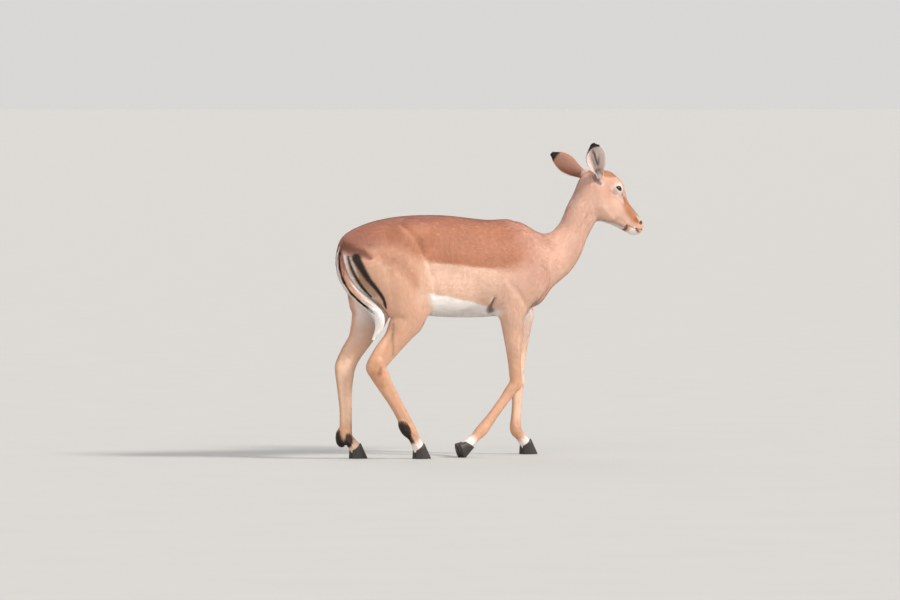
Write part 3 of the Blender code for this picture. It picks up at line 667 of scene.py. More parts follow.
# Name, how far the skin moves (inwards is negative), and points (x, y, z, radius).
FOLDS = [
    ("hip crease", -0.0030, [(-0.290, 0.086, 0.858, 0.010), (-0.244, 0.113, 0.801, 0.013),
                             (-0.192, 0.113, 0.719, 0.012)]),
    ("flank fold", -0.0028, [(-0.192, 0.113, 0.719, 0.012), (-0.180, 0.122, 0.665, 0.011),
                             (-0.172, 0.125, 0.600, 0.012)]),
    ("thigh seam", -0.0022, [(-0.385, 0.093, 0.745, 0.014), (-0.350, 0.108, 0.640, 0.016),
                             (-0.335, 0.105, 0.520, 0.014)]),
    ("elbow fold", -0.0030, [(0.080, 0.115, 0.590, 0.007), (0.084, 0.095, 0.556, 0.008),
                             (0.090, 0.060, 0.530, 0.008)]),
    ("shoulder rear", -0.0010, [(0.120, 0.110, 0.800, 0.026), (0.098, 0.126, 0.700, 0.026),
                                (0.092, 0.130, 0.620, 0.020)]),
    ("shoulder front", 0.0022, [(0.247, 0.075, 0.810, 0.028), (0.300, 0.088, 0.765, 0.028),
                                (0.319, 0.088, 0.730, 0.028), (0.322, 0.085, 0.646, 0.022)]),
    ("arm seam", -0.0018, [(0.150, 0.120, 0.640, 0.013), (0.205, 0.112, 0.585, 0.012),
                           (0.240, 0.100, 0.540, 0.010)]),
    ("neck groove", -0.0016, [(0.335, 0.055, 0.700, 0.012), (0.440, 0.040, 0.785, 0.011),
                              (0.535, 0.034, 0.885, 0.010)]),
    ("jaw corner", 0.0016, [(0.585, 0.046, 0.915, 0.013), (0.612, 0.044, 0.885, 0.012)]),
    ("jaw line", -0.0014, [(0.640, 0.034, 0.880, 0.007), (0.690, 0.025, 0.856, 0.006)]),
    ("cheek bone", 0.0018, [(0.618, 0.051, 0.957, 0.008), (0.652, 0.043, 0.942, 0.007),
                            (0.690, 0.032, 0.918, 0.007)]),
    ("behind the eye", 0.0016, [(0.612, 0.055, 0.990, 0.009), (0.622, 0.054, 0.974, 0.009)]),
    ("nose side", -0.0014, [(0.682, 0.028, 0.950, 0.008), (0.728, 0.020, 0.893, 0.008)]),
    ("gland before the eye", -0.0014, [(0.664, 0.050, 0.966, 0.0028),
                                       (0.680, 0.038, 0.946, 0.0026)]),
    ("nostril", -0.0060, [(0.772, 0.0075, 0.859, 0.0026), (0.770, 0.013, 0.853, 0.0040),
                          (0.763, 0.0185, 0.850, 0.0028)]),
    ("nostril rim", 0.0012, [(0.764, 0.014, 0.864, 0.0035), (0.757, 0.021, 0.857, 0.0035)]),
    ("mouth", -0.0026, [(0.776, 0.000, 0.833, 0.0022), (0.764, 0.015, 0.830, 0.0022),
                        (0.738, 0.021, 0.833, 0.0022), (0.704, 0.024, 0.843, 0.0024)]),
    ("lip corner", -0.0016, [(0.704, 0.024, 0.843, 0.0045), (0.700, 0.0245, 0.838, 0.0045)]),
    ("lip cleft", -0.0012, [(0.778, 0.000, 0.852, 0.0020), (0.777, 0.000, 0.836, 0.0018)]),
    ("muzzle front", -0.0035, [(0.772, 0.000, 0.832, 0.012), (0.764, 0.000, 0.822, 0.010)]),
    ("ear root", -0.0016, [(0.585, 0.046, 1.020, 0.006), (0.566, 0.056, 1.004, 0.007)]),
]


def leg_point(joints, bone, share, back, out, side_y, radius):
    """A point beside a leg's bone: share along it, back from it, out from its middle plane."""
    a, b = np.array(joints[bone]), np.array(joints[bone + 1])
    d = unit(b - a)
    place = a + (b - a) * share + np.array([d[1], -d[0]]) * back
    return (place[0], side_y + out, place[1], radius)


# Folds on both sides of a leg: how far the skin moves, how far out from the leg's middle they lie,
# which joint gives that middle, and points of bone, share along it, reach behind it and radius.
LEG_FOLDS = {
    "hind": [(-0.0020, 0.017, 3, [(2, share, 0.006, 0.0055) for share in (0.18, 0.5, 0.88)]),
             (-0.0014, 0.017, 3, [(3, share, 0.004, 0.0060) for share in (0.25, 0.85)]),
             (-0.0036, 0.020, 2, [(1, 0.45, 0.050, 0.012), (1, 0.66, 0.034, 0.010),
                                  (1, 0.86, 0.020, 0.009)])],
    "fore": [(-0.0020, 0.017, 4, [(3, share, 0.006, 0.0055) for share in (0.18, 0.5, 0.88)]),
             (-0.0014, 0.017, 4, [(4, share, 0.004, 0.0060) for share in (0.25, 0.85)]),
             (0.0018, 0.012, 3, [(3, share, -0.012, 0.009) for share in (-0.05, 0.06)])],
}
leg_folds = []
for side, sign in SIDES.items():
    for end, joints, ys in (("hind", HIND_JOINTS[side], hind_ys(sign)),
                            ("fore", FORE_JOINTS[side], fore_ys(sign))):
        leg_folds += [(amount, [leg_point(joints, bone, share, back, way * out, ys[middle], radius)
                                for bone, share, back, radius in spots])
                      for way in (-1, 1) for amount, out, middle, spots in LEG_FOLDS[end]]


def fold_skin(points, normals):
    """Sum over all paths of amount times exp(-(distance / radius) squared), along the normal."""
    move = np.zeros(len(points))
    todo = [(amount, one) for _, amount, path in FOLDS for one in both_sides(path)] + leg_folds
    for (amount, _), path in zip(todo, pin_all([path for _, path in todo])):
        move += amount * np.exp(-path_ratio(points, path) ** 2)
    return points + normals * move[:, None]


# %% [markdown]
# The lids are not cut out of the skin: the skin is laid over the eyeball.  Seen from the eye's
# centre, points outside an almond are lifted to just over the ball, and points inside it sink
# below the ball's surface, so that the ball shows through the opening with a rounded rim.

# %% Eyelids
EYE_OUT, EYE_ALONG = (0.22, 0.955, 0.20), (0.90, -0.12, -0.42)
LID_LONG, LID_HIGH = 0.0115, 0.0072      # half the opening's length and height
LID_THICK = 0.0017
LID_REACH = 0.034                        # how far from the eye's centre the skin is moved
LID_SINK = 0.0045                        # how far under the ball the skin in the opening lies
LID_CREASE = 0.0010
LID_EDGE = 1.12                          # in half openings; further out the skin keeps its height


def eye_axes(side):
    """Rows: along the opening towards the nose, up across it, and out of the head."""
    out = unit(on_side(EYE_OUT, side))
    along = on_side(EYE_ALONG, side)
    along = unit(along - (along @ out) * out)
    up = np.cross(out, along)
    return np.stack([along, up if up[2] > 0 else -up, out])


def almond(local):
    """1 on the opening's edge: a circle squeezed to its half sizes, pointed at both corners."""
    u, v = local[:, 0] / LID_LONG, local[:, 1] / LID_HIGH
    return np.sqrt(u**2 + (v * (1 + 0.28 * u**2)) ** 2)


def eye_view(points, side):
    """Where points are along, up and out from the eye's centre, how far away, and how far out in
    half openings the line from the centre to them passes the ball."""
    local = (points - on_side(EYE_CENTRE, side)) @ eye_axes(side).T
    distance = np.maximum(np.linalg.norm(local, axis=1), TINY)
    return local, distance, almond(local * (EYE_RADIUS / distance)[:, None])


def lay_lids(points):
    """Distances from the eye's centre: under the ball inside the opening, LID_THICK over it on the
    edge, with a crease above the upper lid, and further out what the skin had."""
    for side in SIDES:
        local, distance, edge = eye_view(points, side)
        near = np.flatnonzero((distance < LID_REACH) & (local[:, 2] > 0))
        height, edge = distance[near], edge[near]
        over = EYE_RADIUS - LID_SINK + (LID_SINK + LID_THICK) * ramp(0.86, 1.04, edge)
        over -= LID_CREASE * np.exp(-((edge - 1.75) / 0.22) ** 2) * (local[near, 1] > 0)
        wanted = np.where(edge < LID_EDGE, over, np.maximum(over, height))
        close = 1 - ramp(LID_EDGE, 1.5, edge)
        wanted = wanted * close + np.maximum(over - 0.0007, height) * (1 - close)
        local[near] *= (wanted / height)[:, None]
        points[near] = on_side(EYE_CENTRE, side) + local[near] @ eye_axes(side)
    return points


put_points(skin.data, skin_points)
skin_points = lay_lids(fold_skin(skin_points, get_normals(skin.data)))
put_points(skin.data, skin_points)
turn_outward(skin.data)
skin_normals = get_normals(skin.data)
print("folds and lids done,", round(time.time() - clock, 1), "s")

# %% [markdown]
# ## The markings
#
# An impala's coat is a few flat colours with clear borders: a red saddle, sand flanks, a white
# belly, black arcs beside the tail, black tufts and ear tips.  They could be painted by hand on an
# image, but named colours and borders are easier to read and stay sharp at any size.  The same
# function colours the skin and the hair over it.


# %% Colours
def screen(red, green, blue):
    """A colour as seen on a screen, 0 to 255, turned into the linear values a shader wants."""
    value = np.array([red, green, blue]) / 255
    return np.where(value <= 0.04045, value / 12.92, ((value + 0.055) / 1.055) ** 2.4)


SADDLE = screen(189, 129, 101)
SADDLE_DARK = screen(166, 109, 94)
RUMP = screen(155, 102, 86)
SAND = screen(231, 195, 173)
THIGH = screen(226, 181, 154)
SHOULDER = screen(218, 172, 154)
NECK_TAN = screen(221, 179, 159)
WHITE = screen(250, 245, 241)
SHADE_WHITE = screen(226, 200, 186)
LEG_TAN = screen(219, 171, 140)
BLACK = screen(30, 24, 24)
BROWN = screen(112, 72, 52)
FACE = screen(230, 185, 163)
RUST = screen(150, 90, 62)
# Grey of the bare patch below the ear; the same grey is painted shade along the top of the upper neck
# and down the middle of the ear's back.
GREY_SKIN_AND_SHADE = screen(140, 118, 114)
CHEEK = screen(243, 206, 184)
PINK = screen(242, 222, 214)
EAR_BACK = screen(184, 130, 102)
LILAC = screen(228, 205, 198)
ORANGE = screen(192, 131, 90)
EYE_WHITE = screen(244, 226, 218)
OLIVE = screen(160, 124, 92)
CHESTNUT = screen(112, 62, 46)
WINE = screen(94, 54, 48)
DARK = screen(76, 60, 50)
# Pale peach of the inner legs, made brighter than the coat as painted light where the near legs shade
# the far ones.
PALE_INNER_AND_PAINTED_LIGHT = screen(252, 216, 190)
EAR_DARK = screen(84, 36, 44)


def mix(colour, other, mask):
    """The first colour where the mask is 0, the other where it is 1."""
    mask = np.clip(mask, 0, 1)[:, None]
    return colour * (1 - mask) + other * mask


def wobble(points, scale, seed=0.0):
    """A soft, repeatable unevenness between -1 and 1: sines that cross at odd angles."""
    x, y, z = (points * scale).T
    return (np.sin(1.7 * x + 2.3 * z + seed) + np.sin(2.9 * y - 1.3 * x + 1.1 * seed)
            + np.sin(3.1 * z + 1.9 * y - 0.7 * seed)) / 3


# Lower edge of the saddle and upper edge of the white belly, as (x, height).
SADDLE_EDGE = [(-0.50, 0.800), (-0.42, 0.770), (-0.32, 0.755), (-0.24, 0.735), (-0.16, 0.715),
               (-0.07, 0.706), (0.06, 0.693), (0.14, 0.690), (0.30, 0.720)]
SADDLE_SOFT = [(-0.50, 0.060), (-0.30, 0.050), (-0.21, 0.022), (-0.16, 0.007), (0.06, 0.007),
               (0.16, 0.034), (0.30, 0.060)]
BELLY_EDGE = [(-0.24, 0.595), (-0.19, 0.602), (-0.12, 0.590), (-0.04, 0.574), (0.05, 0.556),
              (0.10, 0.540), (0.30, 0.530)]
# Marks on the head and the buttocks, some of them painted shade: name, colour, strength, softness, (x,
# y, z, radius).
MARKS = [
    ("crown", SADDLE, 0.8, 1.2, [(0.585, 0.0, 1.052, 0.026), (0.640, 0.0, 1.048, 0.030),
                                 (0.680, 0.0, 1.010, 0.024)]),
    ("forehead", ORANGE, 0.8, 1.0, [(0.605, 0.034, 1.040, 0.014), (0.636, 0.030, 1.034, 0.014)]),
    ("nose bridge", RUST, 0.9, 1.0, [(0.680, 0.0, 1.012, 0.020), (0.703, 0.0, 0.955, 0.018),
                                     (0.740, 0.0, 0.908, 0.017), (0.766, 0.0, 0.880, 0.014)]),
    ("nose side", ORANGE, 0.90, 1.3, [(0.684, 0.034, 0.940, 0.012), (0.702, 0.029, 0.912, 0.019),
                                      (0.722, 0.026, 0.886, 0.019), (0.744, 0.024, 0.864, 0.014)]),
    ("behind the nostril", RUST, 0.55, 1.4, [(0.740, 0.024, 0.868, 0.0070),
                                             (0.750, 0.022, 0.857, 0.0055)]),
    ("cheek", CHEEK, 0.8, 1.9, [(0.640, 0.040, 0.930, 0.020), (0.655, 0.032, 0.890, 0.020),
                               (0.700, 0.024, 0.862, 0.012)]),
    ("under the eye", LILAC, 0.6, 1.2, [(0.640, 0.052, 0.956, 0.010), (0.660, 0.045, 0.948, 0.009),
                                        (0.672, 0.040, 0.934, 0.006)]),
    ("gland streak", BROWN, 0.6, 0.8, [(0.664, 0.050, 0.966, 0.0024), (0.682, 0.038, 0.944, 0.0018)]),
    ("under the jaw", WHITE, 0.65, 1.4, [
        (0.606, 0.008, 0.866, 0.012), (0.655, 0.008, 0.846, 0.012), (0.692, 0.006, 0.832, 0.010)]),
    # Painted shadow: a brown line along the underside of the jaw.
    ("jaw streak", BROWN, 0.35, 1.4, [(0.604, 0.026, 0.872, 0.007), (0.650, 0.020, 0.852, 0.005),
                                      (0.688, 0.018, 0.839, 0.005)]),
    ("beside the nostril", LILAC, 0.9, 0.9, [(0.754, 0.018, 0.876, 0.005),
                                             (0.770, 0.012, 0.866, 0.005)]),
    ("chin", WHITE, 1.0, 0.5, [(0.722, 0.000, 0.814, 0.014), (0.745, 0.0, 0.812, 0.016),
                               (0.728, 0.015, 0.823, 0.010), (0.736, 0.019, 0.834, 0.007)]),
    ("mouth corner", BROWN, 0.85, 0.9, [(0.702, 0.022, 0.842, 0.0050), (0.702, 0.018, 0.832, 0.0075),
                                        (0.700, 0.008, 0.826, 0.0070)]),
    ("lip", DARK, 0.8, 0.9, [(0.744, 0.020, 0.832, 0.0040), (0.754, 0.015, 0.824, 0.0042)]),
    ("mouth line", BLACK, 0.9, 0.5, [(0.776, 0.000, 0.833, 0.0016), (0.764, 0.015, 0.830, 0.0018),
                                     (0.738, 0.021, 0.833, 0.0016), (0.704, 0.024, 0.843, 0.0018)]),
    ("nose pad", BLACK, 0.85, 0.5, [(0.781, 0.000, 0.858, 0.0060), (0.778, 0.0, 0.846, 0.0040)]),
    ("nostril", BLACK, 1.0, 0.5, [(0.775, 0.0090, 0.861, 0.0055), (0.770, 0.016, 0.856, 0.0075),
                                  (0.762, 0.0200, 0.852, 0.0060)]),
    ("bare patch rim", LILAC, 0.9, 0.8, [(0.552, 0.046, 1.034, 0.017), (0.565, 0.052, 1.014, 0.016),
                                         (0.578, 0.052, 1.002, 0.012)]),
    ("bare patch", GREY_SKIN_AND_SHADE, 0.85, 0.8, [(0.545, 0.046, 1.024, 0.009), (0.560, 0.050, 1.008, 0.009),
                                          (0.574, 0.052, 1.000, 0.006)]),
    ("ear foot", LILAC, 0.85, 0.8, [(0.562, 0.045, 1.042, 0.020), (0.546, 0.066, 1.058, 0.020)]),
    ("buttock", OLIVE, 0.6, 1.2, [(-0.470, 0.052, 0.715, 0.012), (-0.440, 0.060, 0.655, 0.016),
                                  (-0.400, 0.068, 0.605, 0.015)]),
    # Painted shade: dark saddle colour over the back of the rump.
    ("rump end", SADDLE_DARK, 0.75, 1.8, [
        (-0.500, 0.000, 0.805, 0.030), (-0.480, 0.045, 0.803, 0.032), (-0.430, 0.082, 0.800, 0.024)]),
    # Painted shade: chestnut over the tops of the black stripes.
    ("over the stripes", CHESTNUT, 0.85, 1.5, [
        (-0.495, 0.020, 0.775, 0.022), (-0.475, 0.055, 0.764, 0.020), (-0.445, 0.078, 0.752, 0.014),
        (-0.428, 0.090, 0.738, 0.008)]),
    # Saddle red down the haunch: partly the saddle's own colour reaching down, partly painted shade.
    ("haunch streak", SADDLE, 0.50, 1.9, [
        (-0.420, 0.082, 0.745, 0.012), (-0.350, 0.102, 0.730, 0.022), (-0.290, 0.110, 0.690, 0.024),
        (-0.255, 0.112, 0.640, 0.016)]),
    ("before the thigh", SAND, 0.6, 1.6, [
        (-0.222, 0.112, 0.700, 0.014), (-0.210, 0.115, 0.650, 0.020), (-0.235, 0.110, 0.580, 0.026)]),
    # Painted shadow: dark wine-brown in the fold behind the elbow.
    ("elbow", WINE, 0.80, 1.2, [(0.084, 0.115, 0.583, 0.0035), (0.078, 0.108, 0.562, 0.0060),
                                (0.076, 0.095, 0.540, 0.0100), (0.088, 0.078, 0.522, 0.0140)]),
    # Painted shade: a brown line in the crease before the heel tendon.
    ("gaskin crease", BROWN, 0.40, 1.5, [
        (-0.342, 0.100, 0.500, 0.0050), (-0.338, 0.096, 0.440, 0.0050), (-0.332, 0.090, 0.380, 0.0040)]),
    ("hock side", ORANGE, 0.45, 1.8, [(-0.408, 0.088, 0.345, 0.020), (-0.404, 0.088, 0.310, 0.020),
                                      (-0.372, 0.088, 0.270, 0.012)]),
    ("hock", RUST, 0.60, 1.6, [(-0.384, 0.090, 0.334, 0.0060), (-0.388, 0.090, 0.314, 0.0095)]),
    ("beside the tail", WHITE, 0.90, 0.8, [
        (-0.478, 0.032, 0.665, 0.006), (-0.464, 0.035, 0.626, 0.009), (-0.425, 0.038, 0.590, 0.011)]),
    ("edge line", WHITE, 0.85, 0.8, [
        (-0.489, 0.048, 0.736, 0.0030), (-0.476, 0.051, 0.705, 0.0032), (-0.459, 0.051, 0.668, 0.0026)]),
    # Painted shadow: a black line in the gap between tail and buttock.
    ("inner line", BLACK, 0.97, 0.5, [
        (-0.494, 0.041, 0.738, 0.0055), (-0.480, 0.044, 0.697, 0.0062), (-0.445, 0.045, 0.638, 0.0068),
        (-0.405, 0.047, 0.592, 0.0055)]),
    ("arc", BLACK, 0.97, 0.5, [(-0.472, 0.062, 0.735, 0.0170), (-0.460, 0.067, 0.710, 0.0140),
                               (-0.441, 0.072, 0.677, 0.0120), (-0.423, 0.077, 0.649, 0.0102),
                               (-0.401, 0.084, 0.622, 0.0086), (-0.376, 0.089, 0.587, 0.0070),
                               (-0.361, 0.084, 0.552, 0.0045)]),
]
sided = [(name, one) for name, _, _, _, path in MARKS for one in both_sides(path)]
body_paths = {}
for (name, _), path in zip(sided, pin_all([one for _, one in sided])):
    body_paths.setdefault(name, []).append(path)


def path_mask(points, name, soft):
    """1 on the path, falling to 0 across a border that is soft times its radius wide."""
    ratio = np.min([path_ratio(points, path) for path in body_paths[name]], axis=0)
    return 1 - ramp(1 - soft / 2, 1 + soft / 2, ratio)


# Borders, each as the values where a change begins and where it is complete.  On the legs: heights,
LEG_BEGINS, BODY_BEGINS = (0.36, 0.52), (0.585, 0.66)
FORELEG_PALE, SHIN_BEGINS, INNER_BEGINS = (0.30, 0.42), (0.12, 0.30), (0.10, 0.16)
INNER_WHITE, INNER_BRIGHT = (0.34, 0.46), (0.46, 0.54)
# offsets in half axes, inwards, forwards and backwards,
INNER_SIDE, SHIN_SIDE, HEEL_SIDE = (0.15, 0.65), (0.35, 0.90), (0.35, 0.80)
# and shares of the way down.
RING, HEEL_TOP, HEEL_END = (0.925, 0.965), (0.845, 0.875), (0.935, 0.955)
# The ring over a hoof is white, and only faint on the far hind foot.
RING_STRENGTH, FAINT_RING = 0.85, 0.30


def leg_colour(blank, points, places, key):
    """Tan outside, pale inside, a white ring over the hoof, and black behind both hind feet."""
    end, side = key
    here = places[key]
    height = points[:, 2]
    inward = -SIDES[side] * here["side"]
    tan = mix(blank + THIGH, LEG_TAN, 1 - ramp(*LEG_BEGINS, height))
    if end == "fore":
        tan = mix(tan, SAND, 0.55 * ramp(*FORELEG_PALE, height))
    inner = ramp(*INNER_SIDE, inward) * ramp(*INNER_BEGINS, height)
    tan = mix(tan, SHADE_WHITE, 0.8 * inner * ramp(*INNER_WHITE, height))
    tan = mix(tan, WHITE, 0.7 * inner * ramp(*INNER_BRIGHT, height))
    # Lower inner side: its own pale colour, lifted as painted light against the near legs' shadow.
    tan = mix(tan, PALE_INNER_AND_PAINTED_LIGHT, 0.9 * inner * (1 - ramp(*INNER_WHITE, height)))
    tan = mix(tan, SAND, 0.55 * ramp(*SHIN_SIDE, here["up"]) * ramp(*SHIN_BEGINS, height))
    share = here["share"]
    ring = FAINT_RING if key == ("hind", "left") else RING_STRENGTH
    tan = mix(tan, WHITE, ring * ramp(*RING, share))
    if end == "hind":
        heel = ramp(*HEEL_SIDE, -here["up"]) * ramp(*HEEL_TOP, share)
        tan = mix(tan, BLACK, 0.92 * heel * (1 - ramp(*HEEL_END, share)))
    return tan


# The far hind foot shows the inner end of its black tuft: centre, radii and direction.
INNER_TUFT = (-0.440, 0.060, 0.074), (0.030, 0.016, 0.016), (0.25, 0.0, -0.97)


# Round the eye: a pale ring, in metres from its axis, and black lids, in half openings.
EYE_MARK_REACH, EYE_RING, LID_BLACK = 0.036, (0.017, 0.031), (1.08, 1.26)


def spot_mask(points, centre, radii, direction, soft=0.0035):
    """1 inside an ellipsoid, 0 further than soft outside it."""
    return 1 - ramp(0.0, soft, muscle_field(points, centre, radii, direction))


# Borders along the trunk, as x: from tail to neck,
RUMP_ENDS, BEHIND_ENDS, THIGH_ENDS = (-0.42, -0.25), (-0.44, -0.36), (-0.215, -0.170)
BELLY_BEGINS, BELLY_ENDS, UNDER_ENDS = (-0.30, -0.20), (0.07, 0.16), (0.16, 0.24)
SHOULDER_BEGINS, SADDLE_FADES, NECK_BEGINS = (0.05, 0.28), (0.14, 0.31), (0.20, 0.30)
# and upwards, as heights.
BACK_DARKENS, UNDER_TOP = (0.83, 0.885), (0.60, 0.66)
BEHIND_TAN_TOP, BEHIND_WHITE_TOP = (0.745, 0.790), (0.735, 0.770)
# Distances from the middle plane.
UNDER_HALF, BEHIND_TAN_HALF, BEHIND_WHITE_HALF = (0.05, 0.10), (0.060, 0.080), (0.026, 0.042)


def trunk_colour(blank, points, normals):
    """Flank and thigh under the saddle's edge, the saddle above it, white underneath and between
    the buttocks.  The second result is 1 on the white of the belly."""
    x, y, z = points[:, 0], np.abs(points[:, 1]), points[:, 2]
    wave = wobble(points, 55.0)
    edge = np.interp(x, *zip(*SADDLE_EDGE)) + 0.002 * wave
    soft = np.interp(x, *zip(*SADDLE_SOFT))
    low = mix(blank + SAND, THIGH, 1 - ramp(*THIGH_ENDS, x + 0.10 * (z - 0.66)))
    low = mix(low, SHOULDER, ramp(*SHOULDER_BEGINS, x))
    red = mix(blank + SADDLE, RUMP, 0.5 * (1 - ramp(*RUMP_ENDS, x)))
    red = mix(red, SADDLE_DARK, 0.65 * ramp(*BACK_DARKENS, z))
    front = mix(blank + SHOULDER, NECK_TAN, ramp(*NECK_BEGINS, x))
    red = mix(red, front, 0.85 * ramp(*SADDLE_FADES, x))
    trunk = mix(low, red, ramp(-soft, soft, z - edge))
    belly = np.interp(x, *zip(*BELLY_EDGE)) + 0.0025 * wave
    white = ramp(-0.005, 0.005, belly - z) * ramp(*BELLY_BEGINS, x) * (1 - ramp(*BELLY_ENDS, x))
    under = ramp(0.10, 0.55, -normals[:, 2]) * (1 - ramp(*UNDER_TOP, z)) * (1 - ramp(*UNDER_HALF, y))
    under = under * (1 - ramp(*UNDER_ENDS, x))
    trunk = mix(trunk, WHITE, np.maximum(white, 0.85 * under))
    behind = 1 - ramp(*BEHIND_ENDS, x)
    for colour, half, top in ((THIGH, BEHIND_TAN_HALF, BEHIND_TAN_TOP),
                              (WHITE, BEHIND_WHITE_HALF, BEHIND_WHITE_TOP)):
        trunk = mix(trunk, colour, behind * (1 - ramp(*half, y)) * (1 - ramp(*top, z)))
    return trunk, white


def coat_colour(points, normals, places):
    """Trunk, neck, head and legs are coloured one by one and mixed by the tubes' weights; marks,
    tufts and the rims of the lids come on top."""
    x, _, z = points.T
    blank = np.zeros((len(points), 3))
    trunk, white = trunk_colour(blank, points, normals)
    nape = places["neck"]["up"]
    neck = mix(blank + NECK_TAN, SADDLE, 0.45 * ramp(0.2, 0.9, nape) * (1 - ramp(0.30, 0.46, x)))
    neck = mix(neck, SAND, 0.5 * ramp(0.1, 0.8, -nape))
    # Painted shade: the top of the upper neck is greyed towards the head.
    neck = mix(neck, GREY_SKIN_AND_SHADE, 0.45 * ramp(0.4, 1.0, nape) * ramp(0.40, 0.5, x))
    head = mix(blank + FACE, CHEEK, 0.6 * ramp(-0.1, 0.7, -places["head"]["up"]))
    found = sum(colour * places[name]["weight"][:, None]
                for name, colour in (("trunk", trunk), ("neck", neck), ("head", head)))
    for end in ("hind", "fore"):
        for side in SIDES:
            leg = mix(leg_colour(blank, points, places, (end, side)), trunk, ramp(*BODY_BEGINS, z))
            found += leg * places[end, side]["weight"][:, None]
    found = mix(found, WHITE, white * ramp(0.02, 0.3, places["trunk"]["weight"]))
    for name, colour, strength, soft, _ in MARKS:
        found = mix(found, colour, strength * path_mask(points, name, soft))
    for side in SIDES:
        found = mix(found, BLACK, 0.95 * spot_mask(points, *gland_tuft(side)[:3]))
    found = mix(found, BLACK, 0.92 * spot_mask(points, *INNER_TUFT))
    for side in SIDES:
        local, distance, edge = eye_view(points, side)
        close = (distance < EYE_MARK_REACH) & (local[:, 2] > 0)
        away = np.hypot(local[:, 0], local[:, 1])
        found = mix(found, EYE_WHITE, 0.85 * close * (1 - ramp(*EYE_RING, away)))
        found = mix(found, BLACK, close * (1 - ramp(*LID_BLACK, edge)))
    return found * (1 + 0.05 * wobble(points, 19.0, 2.0) + 0.03 * wobble(points, 90.0))[:, None]


# %% Give the skin its colours
skin_places = body_places(skin_points)
skin_way = hair_way(skin_points, skin_normals, skin_places)
skin_colour = coat_colour(skin_points, skin_normals, skin_places)


def put_colour(mesh, colours):
    """A colour for every point, read by the materials as the attribute 'marking'."""
    layer = mesh.attributes.new("marking", "FLOAT_COLOR", "POINT")
    layer.data.foreach_set("color", np.hstack([colours, np.ones((len(colours), 1))]).ravel())


def put_vector(mesh, name, values):
    """Three numbers for every point, under a name of their own."""
    mesh.attributes.new(name, "FLOAT_VECTOR", "POINT").data.foreach_set("vector", values.ravel())


def strand_place(points, places):
    """Metres along the hair's run, metres round the body, and the tube's number, for streaks."""
    found = np.zeros((len(points), 3))
    names = list(TUBES)
    chosen = np.argmax([places[name]["weight"] for name in names], axis=0)
    for number, name in enumerate(names):
        rows, _ = TUBES[name]
        here = chosen == number
        steps = np.linalg.norm(np.diff(rows[:, :3], axis=0), axis=1)
        row, numbers = places[name]["row"], np.arange(len(rows))
        run = np.interp(row, numbers, np.r_[0, np.cumsum(steps)])
        girth = np.interp(row, numbers, rows[:, 5])
        found[here] = np.stack([run, places[name]["round"] * girth, 0 * run + number], 1)[here]
    return found


put_colour(skin.data, skin_colour)
put_vector(skin.data, "strand", strand_place(skin_points, skin_places))
print("markings done,", round(time.time() - clock, 1), "s")

# %% [markdown]
# ## Hair as solid strands
#
# Blender grows hair from particles or curves, but neither survives an export.  Every tuft here is
# a closed sliver: a point at the root, rings of three points, and a point at the tip.  Tens of
# thousands are written into one mesh from arrays of centre lines.


# %% Strands from centre lines
PATCH = 0.0028          # length and width of a strand's patch on the coat's map


def strands(name, lines, widths, ups, colours, spots, flat=0.30):
    """Each centre line of k points gets, at every inner point, a ring of three: half a width to
    the left, half to the right, and a keel flat widths below.  The upper face lies level with the
    coat, so the strands catch the light as one surface.  First and last point stay sharp.
    A colour is given for every strand, or for every point of its centre line.
    Every strand is a small patch at its spot on the coat's own map."""
    count, stations = lines.shape[:2]
    along = lines[:, 2:] - lines[:, :-2]
    across = unit_rows(np.cross(along, ups[:, None, :]), 1e-9)
    above = unit_rows(np.cross(across, along), 1e-9)
    inner, half = lines[:, 1:-1], widths[:, :, None] / 2
    rings = np.stack([inner + across * half, inner - across * half,
                      inner - above * half * 2 * flat], axis=2)
    points = np.concatenate([lines[:, :1], rings.reshape(count, -1, 3), lines[:, -1:]], axis=1)
    size = points.shape[1]
    faces = [(0, 2, 1), (0, 3, 2), (0, 1, 3)]
    for ring in range(stations - 3):
        a, b = 1 + 3 * ring, 4 + 3 * ring
        for i, j in ((0, 1), (1, 2), (2, 0)):
            faces += [(a + i, a + j, b + j), (a + i, b + j, b + i)]
    last = 1 + 3 * (stations - 3)
    faces += [(last + i, last + j, size - 1) for i, j in ((0, 1), (1, 2), (2, 0))]
    faces = (np.array(faces)[None] + np.arange(count)[:, None, None] * size).reshape(-1, 3)

    mesh = bpy.data.meshes.new(name)
    mesh.vertices.add(count * size)
    mesh.vertices.foreach_set("co", points.ravel())
    mesh.loops.add(faces.size)
    mesh.loops.foreach_set("vertex_index", faces.ravel())
    mesh.polygons.add(len(faces))
    mesh.polygons.foreach_set("loop_start", np.arange(0, faces.size, 3))
    mesh.update(calc_edges=True)
    step = np.r_[0, np.repeat(np.linspace(0.2, 0.8, stations - 2), 3), 1]
    sidewise = np.r_[0, np.tile([-1, 1, 0.2], stations - 2), 0]
    patch = np.stack([PATCH / 2 * sidewise, PATCH * (step - 0.5)], axis=1)
    places = (spots[:, None, :] + patch[None]).reshape(-1, 2)
    layer = mesh.uv_layers.new(name="OFBake")
    layer.data.foreach_set("uv", places[faces.ravel()].ravel())
    shade = 0.96 + 0.05 * step
    if colours.ndim == 2:
        colours = np.repeat(colours[:, None], stations, axis=1)
    station = np.r_[0, np.repeat(np.arange(1, stations - 1), 3), stations - 1]
    put_colour(mesh, (colours[:, station] * shade[None, :, None]).reshape(-1, 3))
    return in_scene(name, mesh)


def unwrapped(first, second):
    """Two coordinates of the skin's own unwrap, each stretched to fill 0.003 to 0.997."""
    both = np.stack([first, second], axis=1)
    low, high = both.min(axis=0), both.max(axis=0)
    return 0.003 + 0.994 * (both - low) / (high - low)


